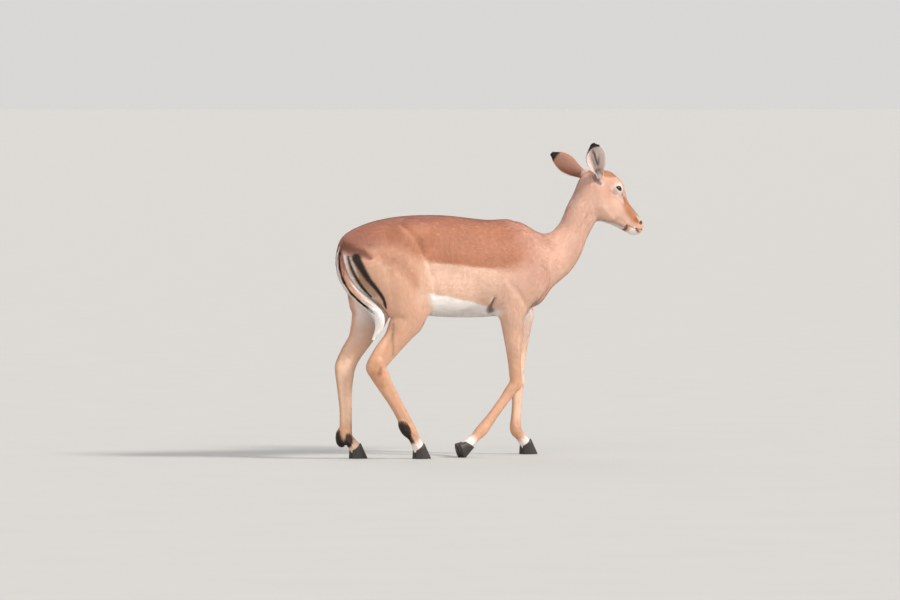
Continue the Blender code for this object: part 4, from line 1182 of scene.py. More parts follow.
# %% [markdown]
# ## The short coat
#
# Roots are scattered over the skin by area, denser where the hair is finer.  A tuft lies along the
# hair's run with a little disorder, and its middle and tip are set at a small height over the
# skin, so that it follows every curve instead of sticking out of it.  A tuft takes the coat's
# colour at its root, its middle and its tip, which keeps the borders of the markings crisp; at the
# feet the whole tuft keeps its root's colour, so that the black tufts stay black to their ends.

# %% Scatter the roots
dice = np.random.default_rng(11)
RISE = 0.60             # a tuft's tip stands this share of the coat's depth over the skin
# Length and width of a tuft and tufts per square metre: everywhere, and what a place adds.
HAIR_EVERYWHERE = (0.0150, 0.0011, 85000)
HAIR_ADDED = {"low": (-0.0050, -0.0002, 60000), "foot": (-0.0035, -0.0001, 40000),
              "face": (-0.0065, -0.0003, 150000), "muzzle": (-0.0020, -0.0001, 60000)}
SHAG_LENGTH, SHAG_RISE = 0.011, 0.0022   # what the black tufts of the hind feet add
HAIR_SHORTENS, FOOT_BEGINS = (0.20, 0.50), (0.06, 0.12)      # heights
FACE_BEGINS, MUZZLE_BEGINS = (0.56, 0.62), (0.68, 0.75)      # x
ROOT_DEPTH = 0.0007
TUFT_POINTS = (0.42, 0.75), (1.0, 1.0)   # middle and tip: share of the length, share of the rise
HAIR_FOOT = 0.040       # below this the horn starts
BARE_REACH, BARE_LID = 0.030, 1.25       # no hair this near the eye, in metres and half openings


def hair_sizes(points, places):
    """Length, width, height of the tip over the skin, and tufts per square metre."""
    x, _, z = points.T
    head = places["head"]["weight"]
    masks = {"low": 1 - ramp(*HAIR_SHORTENS, z), "foot": 1 - ramp(*FOOT_BEGINS, z),
             "face": head * ramp(*FACE_BEGINS, x), "muzzle": head * ramp(*MUZZLE_BEGINS, x)}
    sizes = np.tile(np.array(HAIR_EVERYWHERE)[:, None], len(points))
    for place, mask in masks.items():
        sizes += np.array(HAIR_ADDED[place])[:, None] * mask
    length, width, count = sizes
    rise = coat_depth(points) * RISE
    for side in SIDES:
        shag = spot_mask(points, *gland_tuft(side)[:3], 0.006)
        length += SHAG_LENGTH * shag
        rise += SHAG_RISE * shag
    return length, width, rise, count


def bare(points):
    """True where no hair grows: inside the lids, the nostrils and the mouth."""
    found = np.zeros(len(points), bool)
    for name, least in (("nostril", 0.3), ("nose pad", 0.5), ("mouth line", 0.3)):
        found |= path_mask(points, name, 0.3) > least
    for side in SIDES:
        local, distance, edge = eye_view(points, side)
        found |= (distance < BARE_REACH) & (local[:, 2] > 0) & (edge < BARE_LID)
    return found


skin.data.calc_loop_triangles()
corners = threes(skin.data.loop_triangles, "vertices", np.int32)
a, b, c = (skin_points[corners[:, k]] for k in range(3))
areas = np.linalg.norm(np.cross(b - a, c - a), axis=1) / 2
middles = (a + b + c) / 3
wanted = hair_sizes(middles, body_places(middles))[3] * areas
chosen = dice.choice(len(corners), size=int(wanted.sum()), p=wanted / wanted.sum())
share = dice.random((len(chosen), 2))
share[share.sum(axis=1) > 1] = 1 - share[share.sum(axis=1) > 1]
share = np.stack([1 - share.sum(axis=1), share[:, 0], share[:, 1]], axis=1)


def over_corners(values):
    """A value of the skin's points, mixed over the three corners of each root's triangle."""
    return (values[corners[chosen]] * share[:, :, None]).sum(axis=1)


roots, root_normals, root_way = (over_corners(v) for v in (skin_points, skin_normals, skin_way))
keep = (roots[:, 2] > HAIR_FOOT) & ~bare(roots)
roots, root_normals, root_way = roots[keep], unit_rows(root_normals[keep]), root_way[keep]
root_places = body_places(roots)
root_colour = coat_colour(roots, root_normals, root_places)
print("roots:", len(roots), "of", round(float(areas.sum()), 3), "square metres")


# %% Lay the tufts
def lay_tufts():
    """Three centre points for every tuft: just under the skin, halfway, and the tip."""
    length, width, rise, _ = hair_sizes(roots, root_places)
    count = len(roots)
    length = length * (0.75 + 0.5 * dice.random(count))
    swirl = 0.04 * wobble(roots, 30.0, 1.0) + dice.normal(0, 0.06, count)
    cross = np.cross(root_normals, root_way)
    way = root_way * np.cos(swirl)[:, None] + cross * np.sin(swirl)[:, None]
    lines = np.empty((count, 3, 3))
    lines[:, 0] = roots - root_normals * ROOT_DEPTH
    depth = coat_depth(roots)
    folded = flesh_field(roots) + depth
    for k, (share, lift) in enumerate(TUFT_POINTS, start=1):
        place = roots + way * (length * share)[:, None]
        height = flesh_field(place) + depth - folded
        wanted = rise * lift * (0.90 + 0.20 * dice.random(count))
        lines[:, k] = place + root_normals * np.clip(wanted - height, -0.012, 0.004)[:, None]
    return lines, (width * (0.8 + 0.4 * dice.random(count)))[:, None]


tuft_lines, tuft_widths = lay_tufts()
ONE_COLOUR_BELOW = 0.16
at_foot = (roots[:, 2] < ONE_COLOUR_BELOW)[:, None]
tuft_colour = [root_colour] + [
    np.where(at_foot, root_colour, coat_colour(spot, root_normals, body_places(spot)))
    for spot in (tuft_lines[:, 1], tuft_lines[:, 2])]
tuft_colour = np.stack(tuft_colour, axis=1) * (0.97 + 0.06 * dice.random((len(roots), 1, 1)))
owner = np.argmax([root_places[name]["weight"] for name in TUBES], axis=0)
coats = []
for number, name in enumerate(TUBES):
    halves = SIDES if name == "trunk" else {"": 0.0}
    for half, sign in halves.items():
        mine = (owner == number) & ((sign == 0) | (np.sign(roots[:, 1]) == sign))
        label = "_".join(name) if isinstance(name, tuple) else f"{name}_{half}".strip("_")
        spots = unwrapped(root_places[name]["round"][mine], root_places[name]["share"][mine])
        coats.append(strands(f"coat_{label}", tuft_lines[mine], tuft_widths[mine],
                             root_normals[mine], tuft_colour[mine], spots))
        print(coats[-1].name, "tufts:", int(mine.sum()))
print("coat laid,", round(time.time() - clock, 1), "s")

# %% [markdown]
# ## Ears
#
# An impala's ear is a leaf rolled into a cup.  It is one arc across, carried from root to tip:
# tighter at the root and flatter at the tip.  An outer and an inner sheet of the same grid are
# joined round the rim, so that the ear is a closed solid as thin as gristle.

# %% Ear surface
EAR_FACING = (-0.10, 1.0, -0.15)
EAR_START = 0.03
EAR_ARC = [(0.0, 0.031), (0.25, 0.043), (0.5, 0.050), (0.75, 0.039), (0.92, 0.019), (1.0, 0.004)]
EAR_CURL = [(0.0, 2.3), (0.3, 1.45), (0.6, 0.95), (1.0, 0.6)]
EAR_WALL = 0.0024
EAR_CUT = 0.12                 # share of the length where the solid ear starts
EAR_RIDGE = 0.0016             # height of the two ridges inside
EAR_SHARES = np.linspace(0, 1, 41)


def evened(table):
    """A table's values at EAR_SHARES, each the mean of itself and four on either side."""
    padded = np.pad(np.interp(EAR_SHARES, *zip(*table)), 4, "edge")
    return np.convolve(padded, np.ones(9) / 9, "valid")


EAR_ARCS, EAR_CURLS = evened(EAR_ARC), evened(EAR_CURL)


def ear_frame(side):
    """The ear's root, the ways along it, across it and out of its open side, and its length."""
    root, along, length = ear_axis(side)
    facing = on_side(EAR_FACING, side)
    facing = unit(facing - (facing @ along) * along)
    return root, along, np.cross(along, facing), facing, length


def ear_surface(side, u, v, lift):
    """An arc of radius r and half angle curl across the ear: r times sine across it and r minus
    r times cosine towards its open side.  u runs root to tip, v edge to edge."""
    root, along, across, facing, length = ear_frame(side)
    share = np.clip((u - EAR_CUT) / (1 - EAR_CUT), 0, 1)
    arc, curl = (np.interp(share, EAR_SHARES, values) for values in (EAR_ARCS, EAR_CURLS))
    radius = arc / curl
    angle = curl * v
    back = root + along * (length * u)[..., None] - facing * (0.35 * radius)[..., None]
    reach = (radius - lift) * np.sin(angle)
    rise = radius - (radius - lift) * np.cos(angle)
    return back + across * reach[..., None] + facing * rise[..., None]


# Borders on the ear, as shares of its length, and of its half width for rim and cream.
EAR_TIP_OUT, EAR_TIP_IN, EAR_LINE_BEGINS = (0.80, 0.87), (0.79, 0.85), (0.20, 0.34)
EAR_RIM, EAR_CREAM = (0.88, 1.0), (0.25, 0.80)
# Dark lines inside: strength, where it ends, width, place at the root, and how it leans.
EAR_LINES = [(0.50, 0.70, 0.08, 0.01, -0.25), (0.85, 0.86, 0.12, 0.30, -0.30),
             (0.65, 0.60, 0.10, 0.10, 0.70)]


def ear_colour(u, v, inside):
    """Outside tan with a black tip; inside cream to pink with dark lines, and a white rim."""
    flat = np.zeros((u.size, 3))
    u, v = u.ravel(), v.ravel()
    if not inside:
        # Painted shade: grey down the middle of the ear's back.
        back = mix(flat + EAR_BACK, GREY_SKIN_AND_SHADE, 0.45 * np.exp(-((v - 0.1) / 0.45) ** 2))
        back = mix(back, WHITE, ramp(*EAR_RIM, np.abs(v)))
        return mix(back, BLACK, ramp(*EAR_TIP_OUT, u - 0.08 * ramp(0.3, 1.0, -v)))
    pale = mix(flat + PINK, EYE_WHITE, ramp(*EAR_CREAM, np.abs(v)))
    for strength, end, wide, middle, lean in EAR_LINES:
        line = np.exp(-((v - middle - lean * u - 0.02 * np.sin(24 * u)) / wide) ** 2)
        line *= ramp(*EAR_LINE_BEGINS, u) * (1 - ramp(end - 0.20, end, u))
        pale = mix(pale, EAR_DARK, strength * line)
    pale = mix(pale, EAR_DARK, 0.6 * (1 - ramp(0.10, 0.24, u)) * (1 - ramp(0.3, 0.8, np.abs(v))))
    return mix(pale, BLACK, ramp(*EAR_TIP_IN, u))


def make_ear(side, rows=44, columns=31):
    """Outer sheet, inner sheet and the rim between them; the wall thins out at the rim."""
    u, v = np.meshgrid(np.linspace(EAR_START, 1, rows), np.linspace(-1, 1, columns), indexing="ij")
    thick = EAR_WALL / 2 * np.sqrt(np.clip(1 - np.abs(v) ** 6, 0, 1))
    thick = thick * np.clip((1.004 - u) * 18, 0, 1)
    ridges = EAR_RIDGE * sum(np.exp(-((v - centre) / 0.09) ** 2) for centre in (-0.02, 0.32))
    ridges = ridges * ramp(0.15, 0.3, u) * (1 - ramp(0.55, 0.8, u))
    outer = ear_surface(side, u, v, -thick).reshape(-1, 3)
    inner = ear_surface(side, u, v, thick + ridges).reshape(-1, 3)
    i, j = np.meshgrid(np.arange(rows - 1), np.arange(columns - 1), indexing="ij")
    a, count = (i * columns + j).ravel(), rows * columns
    quads = np.stack([a, a + columns, a + columns + 1, a + 1], axis=1)
    faces = quads.tolist() + (quads[:, ::-1] + count).tolist()
    edge = [k * columns for k in range(rows)]
    edge += [(rows - 1) * columns + k for k in range(1, columns)]
    edge += [k * columns + columns - 1 for k in reversed(range(rows - 1))]
    edge += [k for k in reversed(range(1, columns - 1))]
    faces += [(p, q, count + q, count + p) for p, q in zip(edge, edge[1:] + edge[:1])]
    made = plain_object(f"ear_cup_{side}", np.vstack([outer, inner]), faces)
    turn_outward(made.data)
    put_colour(made.data, np.vstack([ear_colour(u, v, False), ear_colour(u, v, True)]))
    run = np.stack([0.15 * u, 0.05 * v, 0 * u + 9], axis=2).reshape(-1, 3)
    put_vector(made.data, "strand", np.vstack([run, run + [0, 0, 1]]))
    return made


# %% Hair on the ears
def ear_hair(side, count_out=5200, count_in=2600):
    """Short hair along the outside; inside, longer white locks that lean in from both edges."""
    facing = ear_frame(side)[3]
    lines, ups, colours, spots, widths = [], [], [], [], []
    for inside, count in ((False, count_out), (True, count_in)):
        u = EAR_START + (0.985 - EAR_START) * dice.random(count)
        v = dice.uniform(-0.99, 0.99, count)
        if inside:
            v = np.sign(v) * np.abs(v) ** 0.45 * 0.97
        wall = EAR_WALL / 2 * (1 if inside else -1)
        least, more = (0.011, 0.007) if inside else (0.008, 0.003)
        length = least + more * dice.random(count)
        reach = np.minimum(length / 0.15, 1.02 - u)
        drift = dice.normal(0, 0.05, count) - (np.sign(v) * 0.16 if inside else 0)
        line, tint = [], []
        for step, lift in ((0, -0.3), (0.35, 0.6), (0.7, 1.0), (1, 1.1)):
            height = wall + np.sign(wall) * 0.0013 * lift * (0.6 + 0.8 * dice.random(count))
            here = np.minimum(u + reach * step, 1.015), np.clip(v + drift * step, -1.02, 1.02)
            line.append(ear_surface(side, *here, height))
            tint.append(ear_colour(*here, inside))
        lines.append(np.stack(line, axis=1))
        ups.append(np.tile(facing * np.sign(wall), (count, 1)))
        shade = 0.93 + 0.14 * dice.random((count, 1, 1))
        colours.append(np.stack(tint, axis=1) * shade)
        spots.append(unwrapped((v + 1) / 4 + 0.5 * inside, u))
        wide = (0.0011 if inside else 0.0013) * (1 - 0.3 * dice.random(count))
        widths.append(np.stack([wide, wide * 0.8], axis=1))
    lines, ups, colours, widths = (np.concatenate(v) for v in (lines, ups, colours, widths))
    half = np.concatenate([spots[0] * [0.48, 1], spots[1] * [0.48, 1] + [0.51, 0]])
    return strands(f"coat_ear_{side}", lines, widths, ups, colours, half)


ears = {side: make_ear(side) for side in SIDES}
ear_coats = {side: ear_hair(side) for side in SIDES}
print("ears:", [len(ear.data.polygons) for ear in ears.values()], "faces")

# %% [markdown]
# ## Eyes
#
# The ball is a sphere with a slight bulge for the cornea.  An antelope's eye is almost black: a
# dark brown iris round a wide, level pupil.  Both are drawn by distance from the eye's own axis,
# which each point carries as an attribute, under a clear wet coat.


# %% Eyeballs
CORNEA = 0.0010
BALL_RADIUS = EYE_RADIUS - 0.0006        # a little less than the ball that the lids are laid over


def make_eye(side, rings=30, count=48):
    """Sphere by tilt from the outward axis; the radius grows by CORNEA in a bell over the pupil."""
    tilt, angle = np.meshgrid(np.linspace(0, math.pi, rings)[1:-1], around(count), indexing="ij")
    radius = BALL_RADIUS + CORNEA * np.exp(-(tilt / 0.5) ** 2)
    local = np.stack([radius * np.sin(tilt) * np.cos(angle), radius * np.sin(tilt) * np.sin(angle),
                      radius * np.cos(tilt)], axis=2).reshape(-1, 3)
    poles = np.array([[0, 0, BALL_RADIUS + CORNEA], [0, 0, -BALL_RADIUS]])
    local = np.vstack([local, poles])
    faces = [f for f in ring_faces(rings - 2, count) if len(f) == 4]
    top, bottom, last = len(local) - 2, len(local) - 1, (rings - 3) * count
    faces += [(top, (k + 1) % count, k) for k in range(count)]
    faces += [(bottom, last + k, last + (k + 1) % count) for k in range(count)]
    made = plain_object(f"eyeball_{side}", on_side(EYE_CENTRE, side) + local @ eye_axes(side), faces)
    turn_outward(made.data)
    put_vector(made.data, "gaze", local / EYE_RADIUS)
    return made


eyes = {side: make_eye(side) for side in SIDES}

# %% [markdown]
# ## Tail
#
# The tail is a thin core with long hair.  Hair starts all round the core, runs on down the same
# path and spreads a little, which gives the soft, flattened brush that ends in a white wisp.

# %% Tail core and hair
TAIL_PATH = [
    (-0.462, 0.000, 0.806, 0.022),
    (-0.490, 0.000, 0.775, 0.024),
    (-0.503, -0.002, 0.725, 0.024),
    (-0.492, -0.007, 0.665, 0.026),
    (-0.457, -0.016, 0.610, 0.027),
    (-0.407, -0.037, 0.563, 0.028),
    (-0.379, -0.058, 0.524, 0.027),
    (-0.375, -0.061, 0.486, 0.020),
    (-0.393, -0.054, 0.445, 0.006),
]
TAIL_TWIST = -0.62             # the tail hangs turned a little to the right
TAIL = smooth_through(TAIL_PATH, 8)
TAIL_ALONG = unit_rows(np.gradient(TAIL[:, :3], axis=0))
TAIL_FLAT = 0.74               # depth over width


def tail_point(s, angle, radius):
    """s from 0 at the root to 1 at the tip; angle 0 faces backwards; flattened front to back."""
    index = np.clip(s, 0, 1) * (len(TAIL) - 1)
    number = np.arange(len(TAIL))
    centre, along = (np.stack([np.interp(index, number, table[:, k]) for k in range(3)], -1)
                     for table in (TAIL, TAIL_ALONG))
    across = unit_rows(np.cross(along, [0.0, 1.0, 0.0]))
    across *= np.where(across[..., :1] > 0, -1.0, 1.0)
    sidewise = np.cross(along, across)
    over = np.maximum(s - 1, 0)[..., None]
    wide = np.interp(index, number, TAIL[:, 3])
    reach = (radius * wide)[..., None]
    out = TAIL_FLAT * across * np.cos(angle)[..., None] + sidewise * np.sin(angle)[..., None]
    return centre + along * over * 0.3 + reach * out


# Borders on the tail: shares of its length, and an angle from its black line.
TAIL_TAN, TAIL_WHITE, LINE_ENDS = (0.16, 0.46), (0.42, 0.60), (0.56, 0.62)
LINE_HALF = (0.15, 0.27)


def tail_colour(s, angle):
    """A black line down the back; left of it pale, right of it tan near the root; white below."""
    off = (angle - TAIL_TWIST + math.pi) % (2 * math.pi) - math.pi
    found = mix(np.zeros((len(s), 3)) + SADDLE_DARK, THIGH, ramp(*TAIL_TAN, s))
    pale = 0.85 * ramp(0.22, 0.42, off) * ramp(0.07, 0.14, s)
    pale = np.maximum(pale, ramp(0.85, 1.35, -off) * ramp(0.26, 0.40, s))
    found = mix(found, WHITE, np.maximum(pale, ramp(*TAIL_WHITE, s)))
    line = (1 - ramp(*LINE_HALF, np.abs(off))) * ramp(0.03, 0.10, s) * (1 - ramp(*LINE_ENDS, s))
    edge = ramp(0.95, 1.10, off) * (1 - ramp(1.5, 1.7, off))
    edge = edge * ramp(0.05, 0.1, s) * (1 - ramp(0.2, 0.34, s))
    return mix(mix(found, BLACK, line), BLACK, 0.85 * edge)


def slimmer(s):
    """The core ends at a share of 0.93, about a third thinner than it starts."""
    return 1 - 0.35 * ramp(0.6, 0.93, s)


def make_tail_core(rings=50, count=24):
    """Rings round the tail's path, under the hair."""
    s, angle = np.meshgrid(np.linspace(0, 0.93, rings), around(count), indexing="ij")
    points = tail_point(s, angle, 0.72 * slimmer(s)).reshape(-1, 3)
    made = plain_object("tail_core", points, ring_faces(rings, count))
    turn_outward(made.data)
    put_colour(made.data, tail_colour(s.ravel(), angle.ravel()))
    put_vector(made.data, "strand", np.stack([s * 0.45, angle * 0.02, 0 * s + 12], 2).reshape(-1, 3))
    return made


def make_tail_hair(count=4200, stations=7):
    """Each hair runs down the path from its root and moves out from the core to the brush."""
    s = 0.96 * dice.random(count) ** 0.85
    angle = dice.uniform(-math.pi, math.pi, count)
    length = 0.09 + 0.08 * dice.random(count) * ramp(0.1, 0.5, s)
    start = 0.60 * slimmer(s)
    end = 0.78 + 0.22 * dice.random(count)
    drift = dice.normal(0, 0.10, count)
    steps = np.linspace(0, 1, stations)
    line = [tail_point(np.minimum(s + length * t, 1.03), angle + drift * t,
                       start + (end - start) * (1 - (1 - t) ** 2)) for t in steps]
    lines = np.stack(line, axis=1)
    ups = unit_rows(lines[:, 0] - tail_point(s, angle, 0 * s), TINY)
    wide = (0.0020 + 0.0010 * dice.random(count))[:, None]
    wide = wide * np.sin(math.pi * (0.25 + 0.6 * steps[1:-1]))
    colours = tail_colour(s + 0.02 * dice.normal(0, 1, count), angle)
    colours *= 0.9 + 0.2 * dice.random((count, 1))
    return strands("coat_tail", lines, wide, ups, colours, unwrapped(angle, s))


tail, tail_coat = make_tail_core(), make_tail_hair()
print("tail hair:", len(tail_coat.data.polygons), "triangles")

# %% [markdown]
# ## Hooves
#
# Each hoof is two claws of horn.  A claw starts as an oval on the slanted edge of the hair and
# grows down into a longer, pointed sole.  Rings between the two are mixed straight, and what
# would sink into the floor is pressed flat on it.

# %% Claws
CORONET_HEIGHT, HEEL_X, TOE_X = 0.040, -0.020, 0.045
CLAW_HALF_WIDTH, CLEFT = 0.0112, 0.0022
CORONET_HALF_LENGTH = 0.0215
CLAW_FLARE, TOE_TAPER = 0.16, 0.42
PASTERN_SLOPE = math.radians(55.0)


def make_hoof(end, side, rings=22, count=44):
    """Both claws of one foot, joined.  Share runs from the coronet to the sole."""
    joints, ys, last = ((HIND_JOINTS, hind_ys, 4) if end == "hind" else (FORE_JOINTS, fore_ys, 5))
    coronet = np.array([joints[side][last][0], ys(SIDES[side])[last], joints[side][last][1]])
    pitch = math.radians(FOOT_PITCH[end, side])
    turn = np.array([[math.cos(pitch), 0, math.sin(pitch)], [0, 1, 0],
                     [-math.sin(pitch), 0, math.cos(pitch)]])
    share = np.linspace(-0.10, 1.0, rings)[:, None]
    angle = around(count)[None, :]
    along, across = np.cos(angle), np.sin(angle)
    top_x = CORONET_HALF_LENGTH * math.sin(PASTERN_SLOPE) * along
    top_z = CORONET_HEIGHT + CORONET_HALF_LENGTH * math.cos(PASTERN_SLOPE) * along
    sole_x = (HEEL_X + TOE_X) / 2 + (TOE_X - HEEL_X) / 2 * along
    grow = np.clip(share, 0, 1)
    round_sole = 1 - 0.05 * ramp(0.93, 1.0, grow)
    x = (top_x * (1 - share) + sole_x * share) * round_sole
    z = top_z * (1 - share) + 0.0002 * np.sin(share * 60) * (share < 0.9)
    taper = 1 - TOE_TAPER * grow * np.clip(along, 0, 1) ** 2
    wide = CLAW_HALF_WIDTH * (1 + CLAW_FLARE * grow) * across * taper * round_sole
    wide = wide * (1 + 0.012 * np.sin(share * 44)) * (1 - 0.12 * (share < 0))
    y = np.maximum(CLEFT / 2 + CLAW_HALF_WIDTH + wide, CLEFT / 2)
    points = []
    for way in (-1, 1):
        local = np.stack([x, way * y, z - CORONET_HEIGHT], axis=2).reshape(-1, 3)
        world = coronet + local @ turn.T
        world[:, 2] = np.maximum(world[:, 2], 0.0)
        points.append(world)
    faces = ring_faces(rings, count)
    faces += [tuple(k + rings * count for k in face) for face in faces]
    made = plain_object(f"claws_{end}_{side}", np.vstack(points), faces)
    turn_outward(made.data)
    level = np.tile((grow + 0 * angle).ravel(), 2)
    put_vector(made.data, "growth", np.stack([level, 0 * level, 0 * level], axis=1))
    return made


hooves = {(end, side): make_hoof(end, side) for end in ("hind", "fore") for side in SIDES}
print("hooves:", len(hooves), round(time.time() - clock, 1), "s")

# %% [markdown]
# ## Finishes
#
# A material is a network of nodes.  Written as plain arithmetic it stays readable: one small class
# wraps a socket, so that `a * 0.5 + b` adds the Math nodes it needs.


# %% Shader arithmetic
class Wire:
    """A socket of a shader, on which + and * add Math nodes."""

    def __init__(self, tree, socket):
        self.tree, self.socket = tree, socket

    def node(self, kind, settings=None, out=0, **inputs):
        """Any node: its settings are set first, then its sockets get values or links."""
        made = self.tree.nodes.new(kind)
        for key, value in (settings or {}).items():
            setattr(made, key, value)
        for key, value in inputs.items():
            spot = made.inputs[int(key[1:]) if key[1:].isdigit() else key.replace("_", " ")]
            if isinstance(value, Wire):
                self.tree.links.new(value.socket, spot)
            else:
                spot.default_value = value
        return Wire(self.tree, made.outputs[out])

    def math(self, operation, first, second=0.5):
        return self.node("ShaderNodeMath", {"operation": operation}, i0=first, i1=second)

    def __add__(self, other):
        return self.math("ADD", self, other)

    def __mul__(self, other):
        return self.math("MULTIPLY", self, other)

    def attribute(self, name, out=1):
        return self.node("ShaderNodeAttribute", {"attribute_name": name}, out=out)

    def noise(self, place, scale, detail):
        return self.node("ShaderNodeTexNoise", Vector=place, Scale=scale, Detail=detail)

    def between(self, share, first, second):
        """The first colour where the share is 0, the second where it is 1."""
        return self.node("ShaderNodeMix", {"data_type": "RGBA"}, out=2, i0=share, i6=first, i7=second)


def new_finish(name, roughness, **constants):
    """A material with one Principled shader, constants set on its sockets, and a first wire."""
    finish = bpy.data.materials.new(name)
    finish.use_nodes = True
    tree = finish.node_tree
    shader = tree.nodes["Principled BSDF"]
    shader.inputs["Roughness"].default_value = roughness
    for key, value in constants.items():
        shader.inputs[key.replace("_", " ")].default_value = value
    return finish, Wire(tree, None), shader


def feed(wire, shader, name):
    """The wire's value goes into the shader's socket of this name."""
    wire.tree.links.new(wire.socket, shader.inputs[name])


def tinted(start, colour, factor):
    """Two colours multiplied channel by channel."""
    return start.node("ShaderNodeMix", {"data_type": "RGBA", "blend_type": "MULTIPLY"}, out=2,
                      i0=1.0, i6=colour, i7=factor)


# %% [markdown]
# The skin between the tufts is coat too.  Fine streaks that run along the hair, drawn from the
# strand attribute, darken and lighten the marking and lift a bump a fraction of a millimetre high.

# %% Coat, skin, horn and eye materials
def coat_finish(name, streaked, roughness):
    """The marking, lightened and darkened by soft patches and, where asked, by fine streaks."""
    finish, start, shader = new_finish(name, roughness, Sheen_Weight=0.12, Sheen_Roughness=0.45,
                                       Specular_IOR_Level=0.25)
    marking = start.attribute("marking", out=0)
    place = start.node("ShaderNodeTexCoord", out=3)
    patches = start.noise(place, 26.0, 3.0)
    shade = patches * 0.08 + 0.96
    if streaked:
        long_way = start.node("ShaderNodeMapping", Vector=start.attribute("strand"),
                              Scale=(110.0, 1500.0, 7.0))
        hair = start.noise(long_way, 1.0, 3.0)
        shade = shade * (hair * 0.20 + 0.88)
        bump = start.node("ShaderNodeBump", Height=hair, Strength=0.4, Distance=0.0005)
        feed(bump, shader, "Normal")
    grey = start.node("ShaderNodeCombineColor", Red=shade, Green=shade, Blue=shade)
    feed(tinted(start, marking, grey), shader, "Base Color")
    return finish


def horn_finish():
    """Dark grey with rings of growth and a fine grain."""
    finish, start, shader = new_finish("horn of the hoof", 0.42, Specular_IOR_Level=0.4)
    rings = start.node("ShaderNodeMapping", Vector=start.attribute("growth"), Scale=(30.0, 1.0, 1.0))
    grain = start.noise(start.node("ShaderNodeTexCoord", out=3), 160.0, 4.0)
    tone = start.noise(rings, 1.0, 2.0) * 0.5 + grain * 0.5
    colour = start.between(tone, (*screen(30, 28, 29), 1), (*screen(74, 67, 64), 1))
    feed(colour, shader, "Base Color")
    feed(tone * 0.25 + 0.34, shader, "Roughness")
    feed(start.node("ShaderNodeBump", Height=tone, Strength=0.35, Distance=0.0006), shader, "Normal")
    return finish


def eye_finish():
    """From the eye's axis outwards: a wide, level pupil, a brown iris, and a dark rim."""
    finish, start, shader = new_finish("eye", 0.16, Coat_Weight=0.25, Coat_Roughness=0.02,
                                       Specular_IOR_Level=0.25)
    gaze = start.attribute("gaze")
    parts = start.node("ShaderNodeSeparateXYZ", Vector=gaze)
    u, v = parts, Wire(parts.tree, parts.socket.node.outputs[1])
    out = start.math("SQRT", u * u + v * v)
    pupil = start.math("SQRT", u * u * 4.0 + v * v * 16.0)
    fibres = start.noise(gaze, 26.0, 3.0)
    iris = start.between(fibres, (*screen(22, 12, 9), 1), (*screen(50, 29, 20), 1))
    inner = start.node("ShaderNodeMapRange", Value=pupil, From_Min=0.9, From_Max=1.1)
    outer = start.node("ShaderNodeMapRange", Value=out, From_Min=0.66, From_Max=0.74)
    dark = start.between(inner, (0.002, 0.002, 0.003, 1), iris)
    feed(start.between(outer, dark, (*screen(30, 20, 18), 1)), shader, "Base Color")
    return finish


skin_finish = coat_finish("short coat on the skin", True, 0.62)
tuft_finish = coat_finish("tufts of the coat", False, 0.55)
horn, wet_eye = horn_finish(), eye_finish()


# %% [markdown]
# ## Dress the frame
#
# Each piece gets its finish, is moved from the belly's origin to the part's own, and says which
# solids it stands for.

# %% Finish every piece
def dress(made, finish, slot, *nodes, smooth=True):
    """Gives a piece its finish and its place, and hides the solids that it stands for."""
    made.data.materials.clear()
    made.data.materials.append(finish)
    made.data.polygons.foreach_set("use_smooth", np.full(len(made.data.polygons), smooth))
    put_points(made.data, get_points(made.data) - [ORIGIN_X, 0, 0])
    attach(made, "root")
    if nodes:
        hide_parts(*nodes)


flesh = ["trunk", "neck", "head"] + [f"{end}leg_{side}_{part}" for end in ("fore", "hind")
                                     for side in SIDES for part in ("upper", "cannon", "pastern")]
dress(skin, skin_finish, "coat", *flesh)
for made in coats:
    dress(made, tuft_finish, "coat", smooth=False)
for side in SIDES:
    dress(ears[side], skin_finish, "ear", f"ear_{side}")
    dress(ear_coats[side], tuft_finish, "ear", smooth=False)
    dress(eyes[side], wet_eye, "eye", f"eye_{side}")
dress(tail, skin_finish, "tail_hair", "tail")
dress(tail_coat, tuft_finish, "tail_hair", smooth=False)
for (end, side), made in hooves.items():
    dress(made, horn, "hoof", f"hoof_{end}_{side}_inner", f"hoof_{end}_{side}_outer")

# %% [markdown]
# ## Floor, light and camera
#
# A pale floor and three distant lamps, so that the light is the same all over the floor: a key from
# above and in front of the animal's right side, a soft fill from behind it, and a faint rim from
# its left.  A bright surround stands for the sky.  The view transform is Standard, which shows a
# colour as it was named above; the filmic ones would grey it.


# %% Stage
def floor_finish():
    """Pale grey with large, faint clouds."""
    finish, start, shader = new_finish("pale floor", 0.9)
    clouds = start.noise(start.node("ShaderNodeTexCoord", out=3), 3.0, 5.0)
    feed(start.between(clouds, (0.462, 0.461, 0.458, 1), (0.488, 0.487, 0.484, 1)), shader, "Base Color")
    return finish


def sun(name, way, power, spread, tint):
    """A distant lamp that shines from the given direction; its spread in degrees softens shadows."""
    light = bpy.data.lights.new(name, "SUN")
    light.energy, light.angle, light.color = power, math.radians(spread), tint
    x, y, z = way
    in_scene(name, light).rotation_euler = (math.atan2(math.hypot(x, y), z), 0, math.atan2(x, -y))


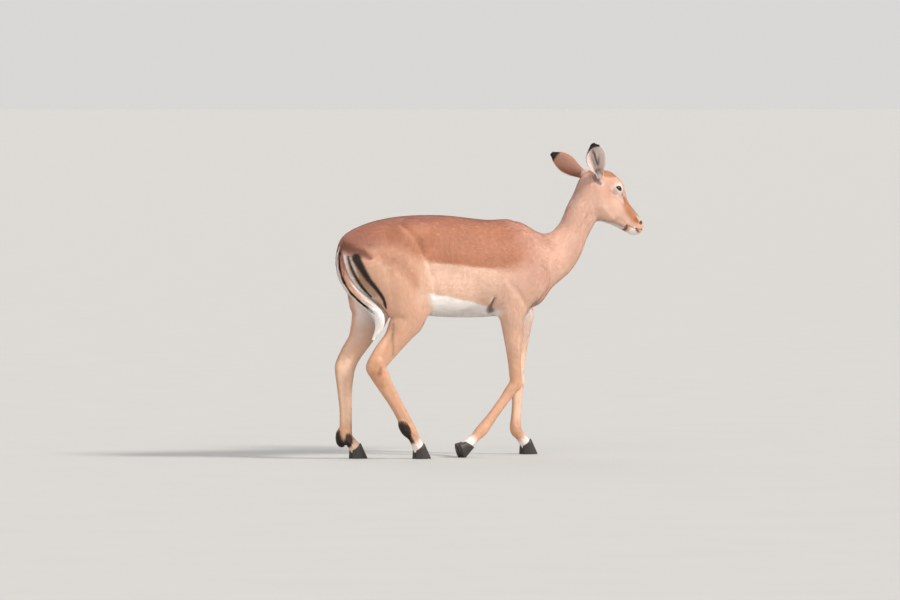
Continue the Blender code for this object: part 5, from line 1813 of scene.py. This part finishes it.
FLOOR_HALF = 1500.0            # so wide that its far edge looks like a horizon
floor = plain_object("floor", [(x * FLOOR_HALF, y * FLOOR_HALF, 0)
                               for x, y in ((-1, -1), (1, -1), (1, 1), (-1, 1))], [(0, 1, 2, 3)])
floor.data.materials.append(floor_finish())
sun("key", (0.62, -0.78, 0.80), 2.9, 12, (1.0, 0.95, 0.88))
sun("fill", (-0.8, -0.6, 0.5), 0.7, 60, (1.0, 0.96, 0.94))
sun("rim", (0.2, 0.9, 0.7), 0.4, 40, (1.0, 0.98, 0.95))
world = bpy.data.worlds.new("surround")
bpy.context.scene.world = world
world.use_nodes = True
background = world.node_tree.nodes["Background"].inputs
background["Color"].default_value = (0.96, 0.95, 0.93, 1)
background["Strength"].default_value = 0.72
bpy.context.scene.view_settings.view_transform = "Standard"

# %% Camera
CAMERA_AZIMUTH, CAMERA_ELEVATION = math.radians(-30.0), math.radians(1.5)
CAMERA_LENS, CAMERA_DISTANCE = 300.0, 27.6
SENSOR_WIDTH, FAR_CLIP = 36.0, 4000.0
RIGHT_SHIFT, AIM_HEIGHT = -0.037 - ORIGIN_X * math.cos(CAMERA_AZIMUTH), 0.574
right = np.array([math.cos(CAMERA_AZIMUTH), math.sin(CAMERA_AZIMUTH), 0.0])
to_camera = np.array([math.sin(CAMERA_AZIMUTH) * math.cos(CAMERA_ELEVATION),
                      -math.cos(CAMERA_AZIMUTH) * math.cos(CAMERA_ELEVATION),
                      math.sin(CAMERA_ELEVATION)])
aim = right * RIGHT_SHIFT + np.array([0, 0, AIM_HEIGHT])
lens = bpy.data.cameras.new("camera")
lens.lens, lens.sensor_width, lens.clip_end = CAMERA_LENS, SENSOR_WIDTH, FAR_CLIP
camera = in_scene("camera", lens)
camera.location = aim + to_camera * CAMERA_DISTANCE
camera.rotation_euler = (math.pi / 2 - CAMERA_ELEVATION, 0, CAMERA_AZIMUTH)
bpy.context.scene.camera = camera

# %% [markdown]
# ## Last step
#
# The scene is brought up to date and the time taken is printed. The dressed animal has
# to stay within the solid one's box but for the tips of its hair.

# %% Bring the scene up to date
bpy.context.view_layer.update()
print("total", round(time.time() - clock, 1), "s")
